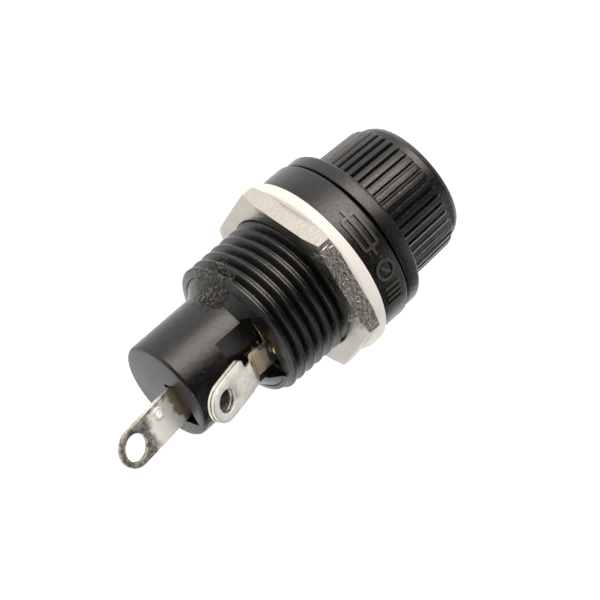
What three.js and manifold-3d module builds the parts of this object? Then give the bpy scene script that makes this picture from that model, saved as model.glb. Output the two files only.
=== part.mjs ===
// Panel-mount cartridge fuse holder with a knurled screw cap, for a 5 x 20 mm glass fuse.
// Millimetres. The axis of the holder is Y: the cap faces -Y and the solder terminals face +Y.
// The origin is on the axis, in the plane of the flange's rear face, where the panel seats.
// +Z points through the middle of the side terminal.

import * as THREE from 'three';
import { mergeVertices } from 'three/addons/utils/BufferGeometryUtils.js';
import Module from 'manifold-3d';

const wasm = await Module();
wasm.setup();

// ---- Fineness ----
const FACETS = 30; // facets round a full turn
const SMALL_FACETS = 20; // facets round the fuse and other small round pieces
const WIRE_FACETS = 8; // facets round the fuse wire
const SPRING_FACETS = 14; // steps in a turn of the contact spring

// ---- Named clearances ----
const SEAT_GAP = 0.05; // between faces that lie on each other
const THREAD_GAP = 0.13; // all round a thread in its groove
const SLIDE_GAP = 0.15; // radial, between pieces that slide past each other
const CONTACT_GAP = 0.06; // radial, between sprung contacts
const STAMPING_GAP = 0.25; // round a stamped strip in a moulded opening
const WASHER_BORE_GAP = 0.25; // radial, round the thread's crest
const THREAD_END_ROOM = 0.17; // turns that a blind groove runs past the end of its ridge

// ---- Body ----
const BODY_WALL = 0.97; // from the groove of the cap's thread to the root of the outside thread
const THREAD_DEPTH = 0.6;
const THREAD_PITCH = 1.0;
const NECK_LENGTH = 8.95;
const SHOULDER_LENGTH = 1.05;
const BARREL_WALL = 1.48;
const BARREL_LENGTH = 6.87;
const END_WALL = 0.87;
const FLANGE_OVERHANG = 1.35; // past the crest of the thread
const FLANGE_THICKNESS = 2.88;
const EDGE_BREAK = 0.15;

// ---- Nut and washer ----
const WASHER_WIDTH = 1.54;
const WASHER_THICKNESS = 1.05;
const NUT_WALL = 2.45; // from the crest of the thread to the nut's corners
const NUT_THICKNESS = 1.57;
const NUT_CHAMFER = 0.35;
const NUT_CLOCKING_DEG = 46.8; // where its first corner stands, from +Z towards +X

// ---- Cap ----
const CAP_FLANGE_GAP = 0.23;
const CAP_FLANGE_STEP = 0.19; // how far it stays inside the edge of the body's flange
const CAP_FLANGE_THICKNESS = 1.4;
const KNURL_STEP = 1.22; // from the edge of the cap's flange down to the ribs
const KNURL_TAPER = 0.965;
const KNURL_DEPTH = 0.34;
const KNURL_COUNT = 45;
const RIB_OUTLINE = [[0.1, 0], [0.25, 1], [0.75, 1], [0.9, 0]]; // shares of its slot and height
const CAP_RIM_STEP = 0.94; // from the ribs down to the rim of the front face
const CAP_NOSE_LENGTH = 1.2;
const CAP_FRONT_WALL = 3.31; // in front of the bore
const CAP_NECK_LENGTH = 6.1;
const CAP_NECK_WALL = 0.6; // round the carrier
const CAP_THREAD_DEPTH = 0.4;
const CAP_THREAD_PITCH = 1.5;

// ---- Fuse ----
const FUSE_LENGTH = 20;
const FUSE_CAP_RADIUS = 2.6;
const FUSE_CAP_LENGTH = 5;
const FUSE_CAP_WALL = 0.15;
const GLASS_WALL = 0.45;
const FUSE_REAR_ROOM = 1.95; // from its rear end to the foot of the tail terminal
const SOLDER_THICKNESS = 0.8;
const WIRE_RADIUS = 0.1;

// ---- Carrier, clip and rivet ----
const CARRIER_WALL = 0.3;
const CARRIER_SHORT = 0.4; // how far its end stays in front of the ring's end
const CARRIER_SLOT_LENGTH = 4;
const CARRIER_SLOT_WIDTH = 0.8;
const CLIP_WALL = 0.25;
const CLIP_ROOM = 0.19; // radial, for its fingers to spread in the carrier
const CLIP_LENGTH = 5;
const CLIP_SLOT_WIDTH = 1;
const RIVET_RADIUS = 0.6;
const RIVET_HEAD_RADIUS = 1.1;
const RIVET_HEAD_HEIGHT = 0.25;

// ---- Side contact ----
const RING_WALL = 0.3;
const RING_SETBACK = 1.75; // its front end, before the end of the thread
const RING_LENGTH = 1.8;
const LEAF_THICKNESS = 0.24;
const LEAF_SPACE = 0.05;
const SIDE_EYE_REACH = 4.95; // along the barrel, from the shoulder
const SIDE_EYE_LIFT = 1.14; // its outer face above the barrel
const SIDE_EYE_RADIUS = 0.98;
const SIDE_LUG_HALF_WIDTH = 1.76;
const SIDE_LUG_LENGTH = 2.95;
const SIDE_NECK_LEFT = -1.66;
const SIDE_NECK_RIGHT = 0.66;
const SIDE_BEND_REACH = 0.95; // from the end of the thread
const SIDE_RIVET_RADIUS = 0.45;
const SIDE_RIVET_HEAD = 0.75;

// ---- Window in the body ----
const WINDOW_WIDTH = 6.2;
const WINDOW_LENGTH = 3.8; // from the end of the thread
const WINDOW_WALL = 0.45; // left under its floor, over the bore
const DEEP_WINDOW_ROOM = 1; // its deep part, past the terminal's bend

// ---- Tail contact ----
const TAIL_TURN_DEG = 11; // turned from +Z towards +X
const TAIL_THICKNESS = 0.4;
const TAIL_HEIGHT = 1.15; // outer face above the axis where it leaves the end wall
const TAIL_OFFSET = -0.9; // its middle, sideways from the axis
const TAIL_HALF_WIDTH = 1.64;
const TAIL_EYE_REACH = 5.15; // from the end of the barrel
const TAIL_EYE_RADIUS = 1.15;
const TAIL_FLARE_DEG = 7;
const TAIL_LEAN_DEG = 2;
const TAIL_DIMPLE_RADIUS = 0.3;
const TAIL_DIMPLE_BACK = 3.2;
const TAIL_DIMPLE_SIDE = 0.78;
const END_OPENING_DEPTH = 1.5;
const CUP_STEP = 0.1; // how much smaller its radius is than the fuse's end cap
const CUP_WALL = 0.25;
const CUP_LENGTH = 0.95;
const SPRING_ROOM = 0.41; // radial, inside the cup's wall
const SPRING_WIRE_RADIUS = 0.14;
const SPRING_TURNS = 2.5;

// ---- Worked out from the sizes above: radii, from the fuse outwards ----
const GLASS_RADIUS = FUSE_CAP_RADIUS - FUSE_CAP_WALL - SEAT_GAP;
const CUP_RADIUS = FUSE_CAP_RADIUS - CUP_STEP;
const SPRING_RADIUS = CUP_RADIUS - CUP_WALL - SPRING_ROOM - SPRING_WIRE_RADIUS;
const BARREL_BORE_RADIUS = FUSE_CAP_RADIUS + 2 * SLIDE_GAP;
const FOOT_RADIUS = BARREL_BORE_RADIUS - SLIDE_GAP;
const BARREL_RADIUS = BARREL_BORE_RADIUS + BARREL_WALL;
const CLIP_RADIUS = FUSE_CAP_RADIUS + CONTACT_GAP + CLIP_WALL;
const CARRIER_RADIUS = CLIP_RADIUS + CLIP_ROOM + CARRIER_WALL;
const RING_RADIUS = CARRIER_RADIUS + CONTACT_GAP + RING_WALL;
const RING_POCKET_RADIUS = RING_RADIUS + SLIDE_GAP;
const BODY_BORE_RADIUS = CARRIER_RADIUS + SLIDE_GAP;
const CAP_BORE_RADIUS = CARRIER_RADIUS + SEAT_GAP;
const CAP_NECK_ROOT_RADIUS = CAP_BORE_RADIUS + CAP_NECK_WALL;
const CAP_THREAD_RADIUS = CAP_NECK_ROOT_RADIUS + CAP_THREAD_DEPTH;
const BODY_MOUTH_RADIUS = CAP_NECK_ROOT_RADIUS + SLIDE_GAP;
const THREAD_ROOT_RADIUS = CAP_THREAD_RADIUS + THREAD_GAP + BODY_WALL;
const THREAD_CREST_RADIUS = THREAD_ROOT_RADIUS + THREAD_DEPTH;
const FLANGE_RADIUS = THREAD_CREST_RADIUS + FLANGE_OVERHANG;
const WASHER_BORE_RADIUS = THREAD_CREST_RADIUS + WASHER_BORE_GAP;
const NUT_CORNER_RADIUS = THREAD_CREST_RADIUS + NUT_WALL;
const CAP_FLANGE_RADIUS = FLANGE_RADIUS - CAP_FLANGE_STEP;
const KNURL_RADIUS = CAP_FLANGE_RADIUS - KNURL_STEP;
const CAP_RIM_RADIUS = KNURL_RADIUS - CAP_RIM_STEP;

// ---- Worked out: places along the axis ----
const BARREL_START_Y = NECK_LENGTH + SHOULDER_LENGTH;
const BODY_END_Y = BARREL_START_Y + BARREL_LENGTH;
const END_WALL_Y = BODY_END_Y - END_WALL;
const FOOT_Y = END_WALL_Y - SEAT_GAP - TAIL_THICKNESS;
const FUSE_REAR_Y = FOOT_Y - FUSE_REAR_ROOM;
const FUSE_FRONT_Y = FUSE_REAR_Y - FUSE_LENGTH;
const CUP_FRONT_Y = FUSE_REAR_Y + SEAT_GAP;
const CLIP_FRONT_Y = FUSE_FRONT_Y - SEAT_GAP - RIVET_HEAD_HEIGHT - SEAT_GAP - CLIP_WALL;
const CARRIER_FRONT_Y = CLIP_FRONT_Y - SEAT_GAP - CARRIER_WALL;
const CAP_BORE_END_Y = CARRIER_FRONT_Y - RIVET_HEAD_HEIGHT - 2 * SEAT_GAP;
const CAP_FRONT_Y = CAP_BORE_END_Y - CAP_FRONT_WALL;
const CAP_REAR_Y = -FLANGE_THICKNESS - CAP_FLANGE_GAP;
const KNURL_START_Y = CAP_REAR_Y - CAP_FLANGE_THICKNESS;
const KNURL_END_Y = CAP_FRONT_Y + CAP_NOSE_LENGTH;
const KNURL_LENGTH = KNURL_START_Y - KNURL_END_Y;
const CAP_NECK_END_Y = CAP_REAR_Y + CAP_NECK_LENGTH;
const RING_FRONT_Y = NECK_LENGTH - RING_SETBACK;
const RING_REAR_Y = RING_FRONT_Y + RING_LENGTH;
const CARRIER_REAR_Y = RING_REAR_Y - CARRIER_SHORT;
const NUT_FRONT_Y = WASHER_THICKNESS + 2 * SEAT_GAP;
const NUT_REAR_Y = NUT_FRONT_Y + NUT_THICKNESS;
const SIDE_BEND_Y = NECK_LENGTH + SIDE_BEND_REACH;
const SIDE_EYE_Y = BARREL_START_Y + SIDE_EYE_REACH;
const TAIL_EYE_Y = BODY_END_Y + TAIL_EYE_REACH;
const WINDOW_REAR_Y = NECK_LENGTH + WINDOW_LENGTH;
const DEEP_WINDOW_REAR_Y = SIDE_BEND_Y + DEEP_WINDOW_ROOM;

// ---- Worked out: the side terminal's slope and the window's floor ----
const WINDOW_FLOOR = BARREL_BORE_RADIUS + WINDOW_WALL;
const LUG_THICKNESS = 2 * LEAF_THICKNESS + LEAF_SPACE;
const SIDE_LEAF_Z = RING_RADIUS + SEAT_GAP;
const SIDE_EYE_HEIGHT = BARREL_RADIUS + SIDE_EYE_LIFT;
const SIDE_RISE = SIDE_EYE_HEIGHT - LUG_THICKNESS - SIDE_LEAF_Z + SEAT_GAP;
const SIDE_FLARE = Math.atan2(SIDE_RISE, SIDE_EYE_Y - SIDE_BEND_Y);
const SIDE_NECK_MIDDLE = (SIDE_NECK_LEFT + SIDE_NECK_RIGHT) / 2;
const SIDE_RIVET_Y = RING_FRONT_Y + RING_LENGTH / 2;
const BEYOND = BODY_END_Y; // longer than anything that a cutter has to clear

// ---- Materials ----
function finish(color, roughness, metalness) {
  return new THREE.MeshStandardMaterial({ color, roughness, metalness });
}

const BLACK_MOULDING = finish(0x1c1a19, 0.35, 0);
const NUT_PLATE = finish(0xc9c2b4, 0.35, 1);
const TERMINAL_PLATE = finish(0xcfc8ba, 0.3, 1);
const BRASS = finish(0xb28f4f, 0.35, 1);
const SPRING_STEEL = finish(0x9a9a98, 0.3, 1);
const WASHER_PLASTIC = finish(0xeeebe2, 0.5, 0);
const CLEAR_GLASS = finish(0xdfeaea, 0.05, 0);
const SOLDER = finish(0xa8a8a4, 0.4, 1);

// ---- Solids ----
// A closed manifold solid from a three.js geometry.
function solid(geometry) {
  const plain = new THREE.BufferGeometry();
  plain.setAttribute('position', geometry.getAttribute('position'));
  plain.setIndex(geometry.getIndex());
  const merged = mergeVertices(plain, 1e-4);
  const index = Array.from(merged.getIndex().array);
  const triangles = [];
  for (let i = 0; i < index.length; i += 3) {
    const [a, b, c] = index.slice(i, i + 3);
    if (a !== b && b !== c && c !== a) {
      triangles.push(a, b, c);
    }
  }
  const mesh = new wasm.Mesh({
    numProp: 3,
    vertProperties: new Float32Array(merged.getAttribute('position').array),
    triVerts: new Uint32Array(triangles),
  });
  return new wasm.Manifold(mesh);
}

// The three.js geometry of a manifold solid.
function geometryOf(body) {
  const data = body.getMesh();
  const geometry = new THREE.BufferGeometry();
  geometry.setAttribute('position', new THREE.BufferAttribute(data.vertProperties, 3));
  geometry.setIndex(new THREE.BufferAttribute(data.triVerts, 1));
  return geometry;
}

// The named mesh of a manifold solid.
function piece(name, body, material) {
  const geometry = geometryOf(body);
  geometry.computeVertexNormals();
  const mesh = new THREE.Mesh(geometry, material);
  mesh.name = name;
  return mesh;
}

// The same solid, moved by a matrix.
function moved(body, matrix) {
  return solid(geometryOf(body).applyMatrix4(matrix));
}

function radians(degrees) {
  return THREE.MathUtils.degToRad(degrees);
}

// A solid of revolution about Y. The profile is a list of [radius, y] pairs; it starts and
// ends on the axis, or closes on itself, with the material on its left.
function turned(profile, facets = FACETS) {
  const onAxis = profile[0][0] === 0;
  const outline = onAxis ? profile : [...profile, profile[0]];
  const points = outline.map(([radius, y]) => new THREE.Vector2(radius, y));
  return solid(new THREE.LatheGeometry(points, facets));
}

// A plain cylinder about Y.
function disc(radius, frontY, rearY, facets = FACETS) {
  return turned([[0, frontY], [radius, frontY], [radius, rearY], [0, rearY]], facets);
}

// A ring about Y.
function ring(innerRadius, outerRadius, frontY, rearY, facets = FACETS) {
  const profile = [
    [innerRadius, frontY],
    [outerRadius, frontY],
    [outerRadius, rearY],
    [innerRadius, rearY],
  ];
  return turned(profile, facets);
}

// A box given by its two opposite corners.
function block(low, high) {
  const size = high.map((value, axis) => value - low[axis]);
  const box = new THREE.BoxGeometry(...size);
  box.translate(...low.map((value, axis) => value + size[axis] / 2));
  return solid(box);
}

// Turns a solid about Y, from +Z towards +X.
function turnedAbout(body, degrees) {
  return moved(body, new THREE.Matrix4().makeRotationY(radians(degrees)));
}

// One right-hand thread ridge: a straight bar of trapezoid section wrapped round Y.
function threadRidge({ root, crest, rootWidth, crestWidth, pitch, startY, turns }) {
  const section = new THREE.Shape([
    new THREE.Vector2(root, -rootWidth / 2),
    new THREE.Vector2(crest, -crestWidth / 2),
    new THREE.Vector2(crest, crestWidth / 2),
    new THREE.Vector2(root, rootWidth / 2),
  ]);
  const steps = Math.round(turns * FACETS);
  const bar = new THREE.ExtrudeGeometry(section, { depth: turns, steps, bevelEnabled: false });
  const positions = bar.getAttribute('position');
  for (let i = 0; i < positions.count; i += 1) {
    const turn = positions.getZ(i);
    const angle = 2 * Math.PI * turn;
    const radius = positions.getX(i);
    const y = startY + pitch * turn + positions.getY(i);
    positions.setXYZ(i, radius * Math.sin(angle), y, radius * Math.cos(angle));
  }
  // The wrap mirrors the bar, so each facet is listed the other way round.
  const merged = mergeVertices(withPositionOnly(bar), 1e-4);
  const index = merged.getIndex();
  for (let i = 0; i < index.count; i += 3) {
    const second = index.getX(i + 1);
    index.setX(i + 1, index.getX(i + 2));
    index.setX(i + 2, second);
  }
  return solid(merged);
}

function withPositionOnly(geometry) {
  geometry.deleteAttribute('normal');
  geometry.deleteAttribute('uv');
  return geometry;
}

// A flat plate: an outline in its own plane, with round holes, lifted by its thickness.
function plate(outline, holes, thickness) {
  for (const [x, y, radius] of holes) {
    const hole = new THREE.Path();
    hole.absarc(x, y, radius, 0, 2 * Math.PI, true);
    outline.holes.push(hole);
  }
  const options = { depth: thickness, bevelEnabled: false, curveSegments: 20 };
  return solid(new THREE.ExtrudeGeometry(outline, options));
}

// ---- Threads ----
const PANEL_THREAD = {
  rootWidth: 0.86 * THREAD_PITCH,
  crestWidth: 0.2 * THREAD_PITCH,
  pitch: THREAD_PITCH,
};
const CAP_THREAD = {
  rootWidth: 0.62 * CAP_THREAD_PITCH,
  crestWidth: 0.28 * CAP_THREAD_PITCH,
  pitch: CAP_THREAD_PITCH,
};
const RIDGE_SINK = 0.12; // how far a ridge's foot is sunk in its core
const LEAD_TURNS = 2; // how far in front of its ridge a groove starts
const PANEL_THREAD_START_Y = PANEL_THREAD.rootWidth / 2 + SEAT_GAP;
const PANEL_THREAD_TURNS = Math.floor((NECK_LENGTH - PANEL_THREAD.rootWidth) / THREAD_PITCH);
const CAP_THREAD_START_Y = CAP_REAR_Y + CAP_THREAD.rootWidth;
const CAP_THREAD_TURNS = Math.floor((CAP_NECK_LENGTH - 1.5 * CAP_THREAD.rootWidth) / CAP_THREAD_PITCH);

// A ridge's section carried inwards, so that it joins the core with its flanks unbroken.
function sunk(thread, root, crest, depth) {
  const slope = (thread.rootWidth - thread.crestWidth) / (crest - root);
  return { ...thread, root: root - depth, crest, rootWidth: thread.rootWidth + slope * depth };
}

// The groove that takes a ridge: larger all round by the thread's gap, and led in from the front.
function threadGroove(thread, root, crest, startY, turns) {
  const wide = {
    rootWidth: thread.rootWidth + 2 * THREAD_GAP,
    crestWidth: thread.crestWidth + 2 * THREAD_GAP,
    pitch: thread.pitch,
  };
  const section = sunk(wide, root, crest + THREAD_GAP, THREAD_GAP);
  return threadRidge({ ...section, startY: startY - LEAD_TURNS * thread.pitch, turns });
}

// ---- Body ----
function bodyCore() {
  return turned([
    [0, END_WALL_Y],
    [BARREL_BORE_RADIUS, END_WALL_Y],
    [BARREL_BORE_RADIUS, RING_REAR_Y + SLIDE_GAP],
    [RING_POCKET_RADIUS, RING_REAR_Y + SLIDE_GAP],
    [RING_POCKET_RADIUS, RING_FRONT_Y - SLIDE_GAP],
    [BODY_BORE_RADIUS, RING_FRONT_Y - SLIDE_GAP],
    [BODY_BORE_RADIUS, CAP_NECK_END_Y + 2 * SLIDE_GAP],
    [BODY_MOUTH_RADIUS, CAP_NECK_END_Y + SLIDE_GAP],
    [BODY_MOUTH_RADIUS, -FLANGE_THICKNESS],
    [FLANGE_RADIUS - EDGE_BREAK, -FLANGE_THICKNESS],
    [FLANGE_RADIUS, EDGE_BREAK - FLANGE_THICKNESS],
    [FLANGE_RADIUS, -EDGE_BREAK],
    [FLANGE_RADIUS - EDGE_BREAK, 0],
    [THREAD_ROOT_RADIUS, 0],
    [THREAD_ROOT_RADIUS, NECK_LENGTH],
    [BARREL_RADIUS, BARREL_START_Y],
    [BARREL_RADIUS, BODY_END_Y - EDGE_BREAK],
    [BARREL_RADIUS - EDGE_BREAK, BODY_END_Y],
    [0, BODY_END_Y],
  ]);
}

function bodyWindow() {
  const half = WINDOW_WIDTH / 2;
  const top = THREAD_CREST_RADIUS + 1;
  const frontY = NECK_LENGTH - SEAT_GAP;
  const shallow = block([-half, frontY, WINDOW_FLOOR], [half, WINDOW_REAR_Y, top]);
  const left = SIDE_NECK_LEFT - STAMPING_GAP;
  const right = SIDE_NECK_RIGHT + STAMPING_GAP;
  const deepFloor = BARREL_BORE_RADIUS - SLIDE_GAP;
  const deep = block([left, frontY, deepFloor], [right, DEEP_WINDOW_REAR_Y, top]);
  const leafTop = SIDE_LEAF_Z + LUG_THICKNESS + STAMPING_GAP;
  const leafLow = [left, RING_FRONT_Y - SLIDE_GAP, deepFloor];
  const leafPocket = block(leafLow, [right, DEEP_WINDOW_REAR_Y, leafTop]);
  return shallow.add(deep).add(leafPocket);
}

// The opening in the end wall that the tail terminal stands in.
function endOpening() {
  const low = TAIL_HEIGHT - TAIL_THICKNESS - STAMPING_GAP;
  const high = TAIL_HEIGHT + END_OPENING_DEPTH;
  const half = TAIL_HALF_WIDTH + STAMPING_GAP;
  const opening = block(
    [TAIL_OFFSET - half, END_WALL_Y - END_WALL, low],
    [TAIL_OFFSET + half, BODY_END_Y + END_WALL, high],
  );
  return turnedAbout(opening, TAIL_TURN_DEG);
}

function holderBody() {
  const thread = threadRidge({
    ...sunk(PANEL_THREAD, THREAD_ROOT_RADIUS, THREAD_CREST_RADIUS, RIDGE_SINK),
    startY: PANEL_THREAD_START_Y,
    turns: PANEL_THREAD_TURNS,
  });
  const capGroove = threadGroove(
    CAP_THREAD,
    CAP_NECK_ROOT_RADIUS,
    CAP_THREAD_RADIUS,
    CAP_THREAD_START_Y,
    CAP_THREAD_TURNS + LEAD_TURNS + THREAD_END_ROOM,
  );
  const body = bodyCore()
    .add(thread)
    .subtract(capGroove)
    .subtract(bodyWindow())
    .subtract(endOpening());
  return piece('holder_body', body, BLACK_MOULDING);
}

// ---- Nut and washer ----
function panelWasher() {
  const outer = WASHER_BORE_RADIUS + WASHER_WIDTH;
  const body = ring(WASHER_BORE_RADIUS, outer, SEAT_GAP, SEAT_GAP + WASHER_THICKNESS);
  return piece('panel_washer', body, WASHER_PLASTIC);
}

function panelNut() {
  const corners = [];
  for (let i = 0; i < 6; i += 1) {
    const angle = (Math.PI / 3) * i;
    const corner = new THREE.Vector2(Math.sin(angle), Math.cos(angle));
    corners.push(corner.multiplyScalar(NUT_CORNER_RADIUS));
  }
  const prism = new THREE.ExtrudeGeometry(new THREE.Shape(corners), {
    depth: NUT_THICKNESS,
    bevelEnabled: false,
  });
  prism.rotateX(-Math.PI / 2);
  prism.translate(0, NUT_FRONT_Y, 0);
  const chamfered = turned([
    [0, NUT_FRONT_Y],
    [NUT_CORNER_RADIUS - 2 * NUT_CHAMFER, NUT_FRONT_Y],
    [NUT_CORNER_RADIUS + NUT_CHAMFER, NUT_FRONT_Y + NUT_CHAMFER],
    [NUT_CORNER_RADIUS + NUT_CHAMFER, NUT_REAR_Y - NUT_CHAMFER],
    [NUT_CORNER_RADIUS - 2 * NUT_CHAMFER, NUT_REAR_Y],
    [0, NUT_REAR_Y],
  ]);
  const hexagon = turnedAbout(solid(prism), NUT_CLOCKING_DEG).intersect(chamfered);
  const bore = disc(THREAD_ROOT_RADIUS + THREAD_GAP, NUT_FRONT_Y - 1, NUT_REAR_Y + 1);
  const groove = threadGroove(
    PANEL_THREAD,
    THREAD_ROOT_RADIUS,
    THREAD_CREST_RADIUS,
    PANEL_THREAD_START_Y,
    Math.ceil(NUT_REAR_Y / THREAD_PITCH) + LEAD_TURNS + 1,
  );
  return piece('panel_nut', hexagon.subtract(bore).subtract(groove), NUT_PLATE);
}

// ---- Cap ----
function knurl() {
  const outline = [];
  const slot = (2 * Math.PI) / KNURL_COUNT;
  for (let i = 0; i < KNURL_COUNT; i += 1) {
    for (const [share, height] of RIB_OUTLINE) {
      const angle = slot * (i + share);
      const radius = KNURL_RADIUS - KNURL_DEPTH * (1 - height);
      outline.push(new THREE.Vector2(radius * Math.sin(angle), radius * Math.cos(angle)));
    }
  }
  const ribs = new THREE.ExtrudeGeometry(new THREE.Shape(outline.reverse()), {
    depth: KNURL_LENGTH,
    bevelEnabled: false,
  });
  const positions = ribs.getAttribute('position');
  for (let i = 0; i < positions.count; i += 1) {
    const along = positions.getZ(i);
    const scale = 1 - (1 - KNURL_TAPER) * (along / KNURL_LENGTH);
    const x = positions.getX(i) * scale;
    const z = positions.getY(i) * scale;
    positions.setXYZ(i, x, KNURL_START_Y - along, z);
  }
  return solid(withPositionOnly(ribs));
}

function capCore() {
  const noseRadius = (KNURL_RADIUS - KNURL_DEPTH) * KNURL_TAPER;
  const core = KNURL_RADIUS - KNURL_DEPTH - 2 * EDGE_BREAK;
  return turned([
    [0, CAP_FRONT_Y],
    [CAP_RIM_RADIUS - 3 * EDGE_BREAK, CAP_FRONT_Y],
    [CAP_RIM_RADIUS, CAP_FRONT_Y + 2 * EDGE_BREAK],
    [noseRadius, KNURL_END_Y],
    [core, KNURL_END_Y + EDGE_BREAK],
    [core, KNURL_START_Y],
    [CAP_FLANGE_RADIUS - 2 * EDGE_BREAK, KNURL_START_Y],
    [CAP_FLANGE_RADIUS, KNURL_START_Y + 2 * EDGE_BREAK],
    [CAP_FLANGE_RADIUS, CAP_REAR_Y],
    [CAP_NECK_ROOT_RADIUS, CAP_REAR_Y],
    [CAP_NECK_ROOT_RADIUS, CAP_NECK_END_Y],
    [0, CAP_NECK_END_Y],
  ]);
}

function capShell() {
  const thread = threadRidge({
    ...sunk(CAP_THREAD, CAP_NECK_ROOT_RADIUS, CAP_THREAD_RADIUS, RIDGE_SINK),
    startY: CAP_THREAD_START_Y,
    turns: CAP_THREAD_TURNS,
  });
  const bore = disc(CAP_BORE_RADIUS, CAP_BORE_END_Y, CAP_NECK_END_Y + 1);
  return piece('cap_shell', capCore().add(knurl()).add(thread).subtract(bore), BLACK_MOULDING);
}

// A cup about Y, open to the rear. Its floor has a hole, or is closed where holeRadius is 0.
function openCup(outerRadius, wall, floorY, rearY, holeRadius, facets) {
  const profile = [
    [holeRadius, floorY],
    [outerRadius, floorY],
    [outerRadius, rearY],
    [outerRadius - wall, rearY],
    [outerRadius - wall, floorY + wall],
    [holeRadius, floorY + wall],
  ];
  return turned(profile, facets);
}

// Slots across a tube's rear end, which leave its wall as springy fingers.
function fingerSlots(radius, width, frontY, rearY) {
  const across = block([-radius, frontY, -width / 2], [radius, rearY, width / 2]);
  return across.add(turnedAbout(across, 90));
}

function carrierSleeve() {
  const hole = RIVET_RADIUS + SEAT_GAP;
  const frontY = CARRIER_FRONT_Y;
  const tube = openCup(CARRIER_RADIUS, CARRIER_WALL, frontY, CARRIER_REAR_Y, hole, FACETS);
  const slotY = CARRIER_REAR_Y - CARRIER_SLOT_LENGTH;
  const slots = fingerSlots(CARRIER_RADIUS + 1, CARRIER_SLOT_WIDTH, slotY, CARRIER_REAR_Y + 1);
  return piece('carrier_sleeve', tube.subtract(slots), TERMINAL_PLATE);
}

function fuseClip() {
  const rearY = CLIP_FRONT_Y + CLIP_LENGTH;
  const hole = RIVET_RADIUS + SEAT_GAP;
  const cup = openCup(CLIP_RADIUS, CLIP_WALL, CLIP_FRONT_Y, rearY, hole, SMALL_FACETS);
  const slotY = CLIP_FRONT_Y + 2 * CLIP_WALL;
  const slots = fingerSlots(CLIP_RADIUS + 1, CLIP_SLOT_WIDTH, slotY, rearY + 1);
  return piece('fuse_clip', cup.subtract(slots), SPRING_STEEL);
}

function clipRivet() {
  const frontY = CARRIER_FRONT_Y - SEAT_GAP;
  const rearY = CLIP_FRONT_Y + CLIP_WALL + SEAT_GAP;
  const body = turned([
    [0, frontY - RIVET_HEAD_HEIGHT],
    [RIVET_HEAD_RADIUS, frontY - RIVET_HEAD_HEIGHT],
    [RIVET_HEAD_RADIUS, frontY],
    [RIVET_RADIUS, frontY],
    [RIVET_RADIUS, rearY],
    [RIVET_HEAD_RADIUS, rearY],
    [RIVET_HEAD_RADIUS, rearY + RIVET_HEAD_HEIGHT],
    [0, rearY + RIVET_HEAD_HEIGHT],
  ], SMALL_FACETS);
  return piece('clip_rivet', body, BRASS);
}

// ---- Fuse ----
function fuseCap(name, outerY, inwards) {
  const floor = outerY + inwards * FUSE_CAP_WALL;
  const mouth = outerY + inwards * FUSE_CAP_LENGTH;
  const profile = [
    [0, outerY],
    [FUSE_CAP_RADIUS, outerY],
    [FUSE_CAP_RADIUS, mouth],
    [FUSE_CAP_RADIUS - FUSE_CAP_WALL, mouth],
    [FUSE_CAP_RADIUS - FUSE_CAP_WALL, floor],
    [0, floor],
  ];
  const outline = inwards > 0 ? profile : profile.reverse();
  return piece(name, turned(outline, SMALL_FACETS), TERMINAL_PLATE);
}

function fuseGlass() {
  const inset = FUSE_CAP_WALL + SEAT_GAP;
  const bore = GLASS_RADIUS - GLASS_WALL;
  const frontY = FUSE_FRONT_Y + inset;
  const body = ring(bore, GLASS_RADIUS, frontY, FUSE_REAR_Y - inset, SMALL_FACETS);
  return piece('fuse_glass', body, CLEAR_GLASS);
}

function fuseSolder(name, outerY, inwards) {
  const nearY = outerY + inwards * (FUSE_CAP_WALL + SEAT_GAP);
  const farY = nearY + inwards * SOLDER_THICKNESS;
  const radius = GLASS_RADIUS - GLASS_WALL - SEAT_GAP;
  const [frontY, rearY] = inwards > 0 ? [nearY, farY] : [farY, nearY];
  const body = ring(WIRE_RADIUS + 2 * SEAT_GAP, radius, frontY, rearY, SMALL_FACETS);
  return piece(name, body, SOLDER);
}

function fuseWire() {
  const inset = FUSE_CAP_WALL + SEAT_GAP;
  const wire = disc(WIRE_RADIUS, FUSE_FRONT_Y + inset, FUSE_REAR_Y - inset, WIRE_FACETS);
  return piece('fuse_wire', wire, SPRING_STEEL);
}

// ---- Side contact ----
function sideContactRing() {
  const body = ring(CARRIER_RADIUS + CONTACT_GAP, RING_RADIUS, RING_FRONT_Y, RING_REAR_Y);
  return piece('side_contact_ring', body, BRASS);
}

// One leaf of the side terminal's eye end, in its own plane: +y runs rearwards along the lug.
function sideLeaf() {
  const half = SIDE_LUG_HALF_WIDTH;
  const outline = new THREE.Shape();
  outline.moveTo(-half, -SIDE_LUG_LENGTH);
  outline.lineTo(half, -SIDE_LUG_LENGTH);
  outline.lineTo(half, 0);
  outline.absarc(0, 0, half, 0, Math.PI, false);
  outline.lineTo(-half, -SIDE_LUG_LENGTH);
  return plate(outline, [[0, 0, SIDE_EYE_RADIUS]], LEAF_THICKNESS);
}

// Puts a plate drawn flat, with its eye at the origin and +y rearwards, into its sloping place.
// Its upper face then passes through the point at eyeY and height above the axis.
function laidOver(body, thickness, flare, offset, eyeY, height) {
  const place = new THREE.Matrix4()
    .makeTranslation(offset, eyeY, height)
    .multiply(new THREE.Matrix4().makeRotationX(flare))
    .multiply(new THREE.Matrix4().makeTranslation(0, 0, -thickness));
  return moved(body, place);
}

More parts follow.
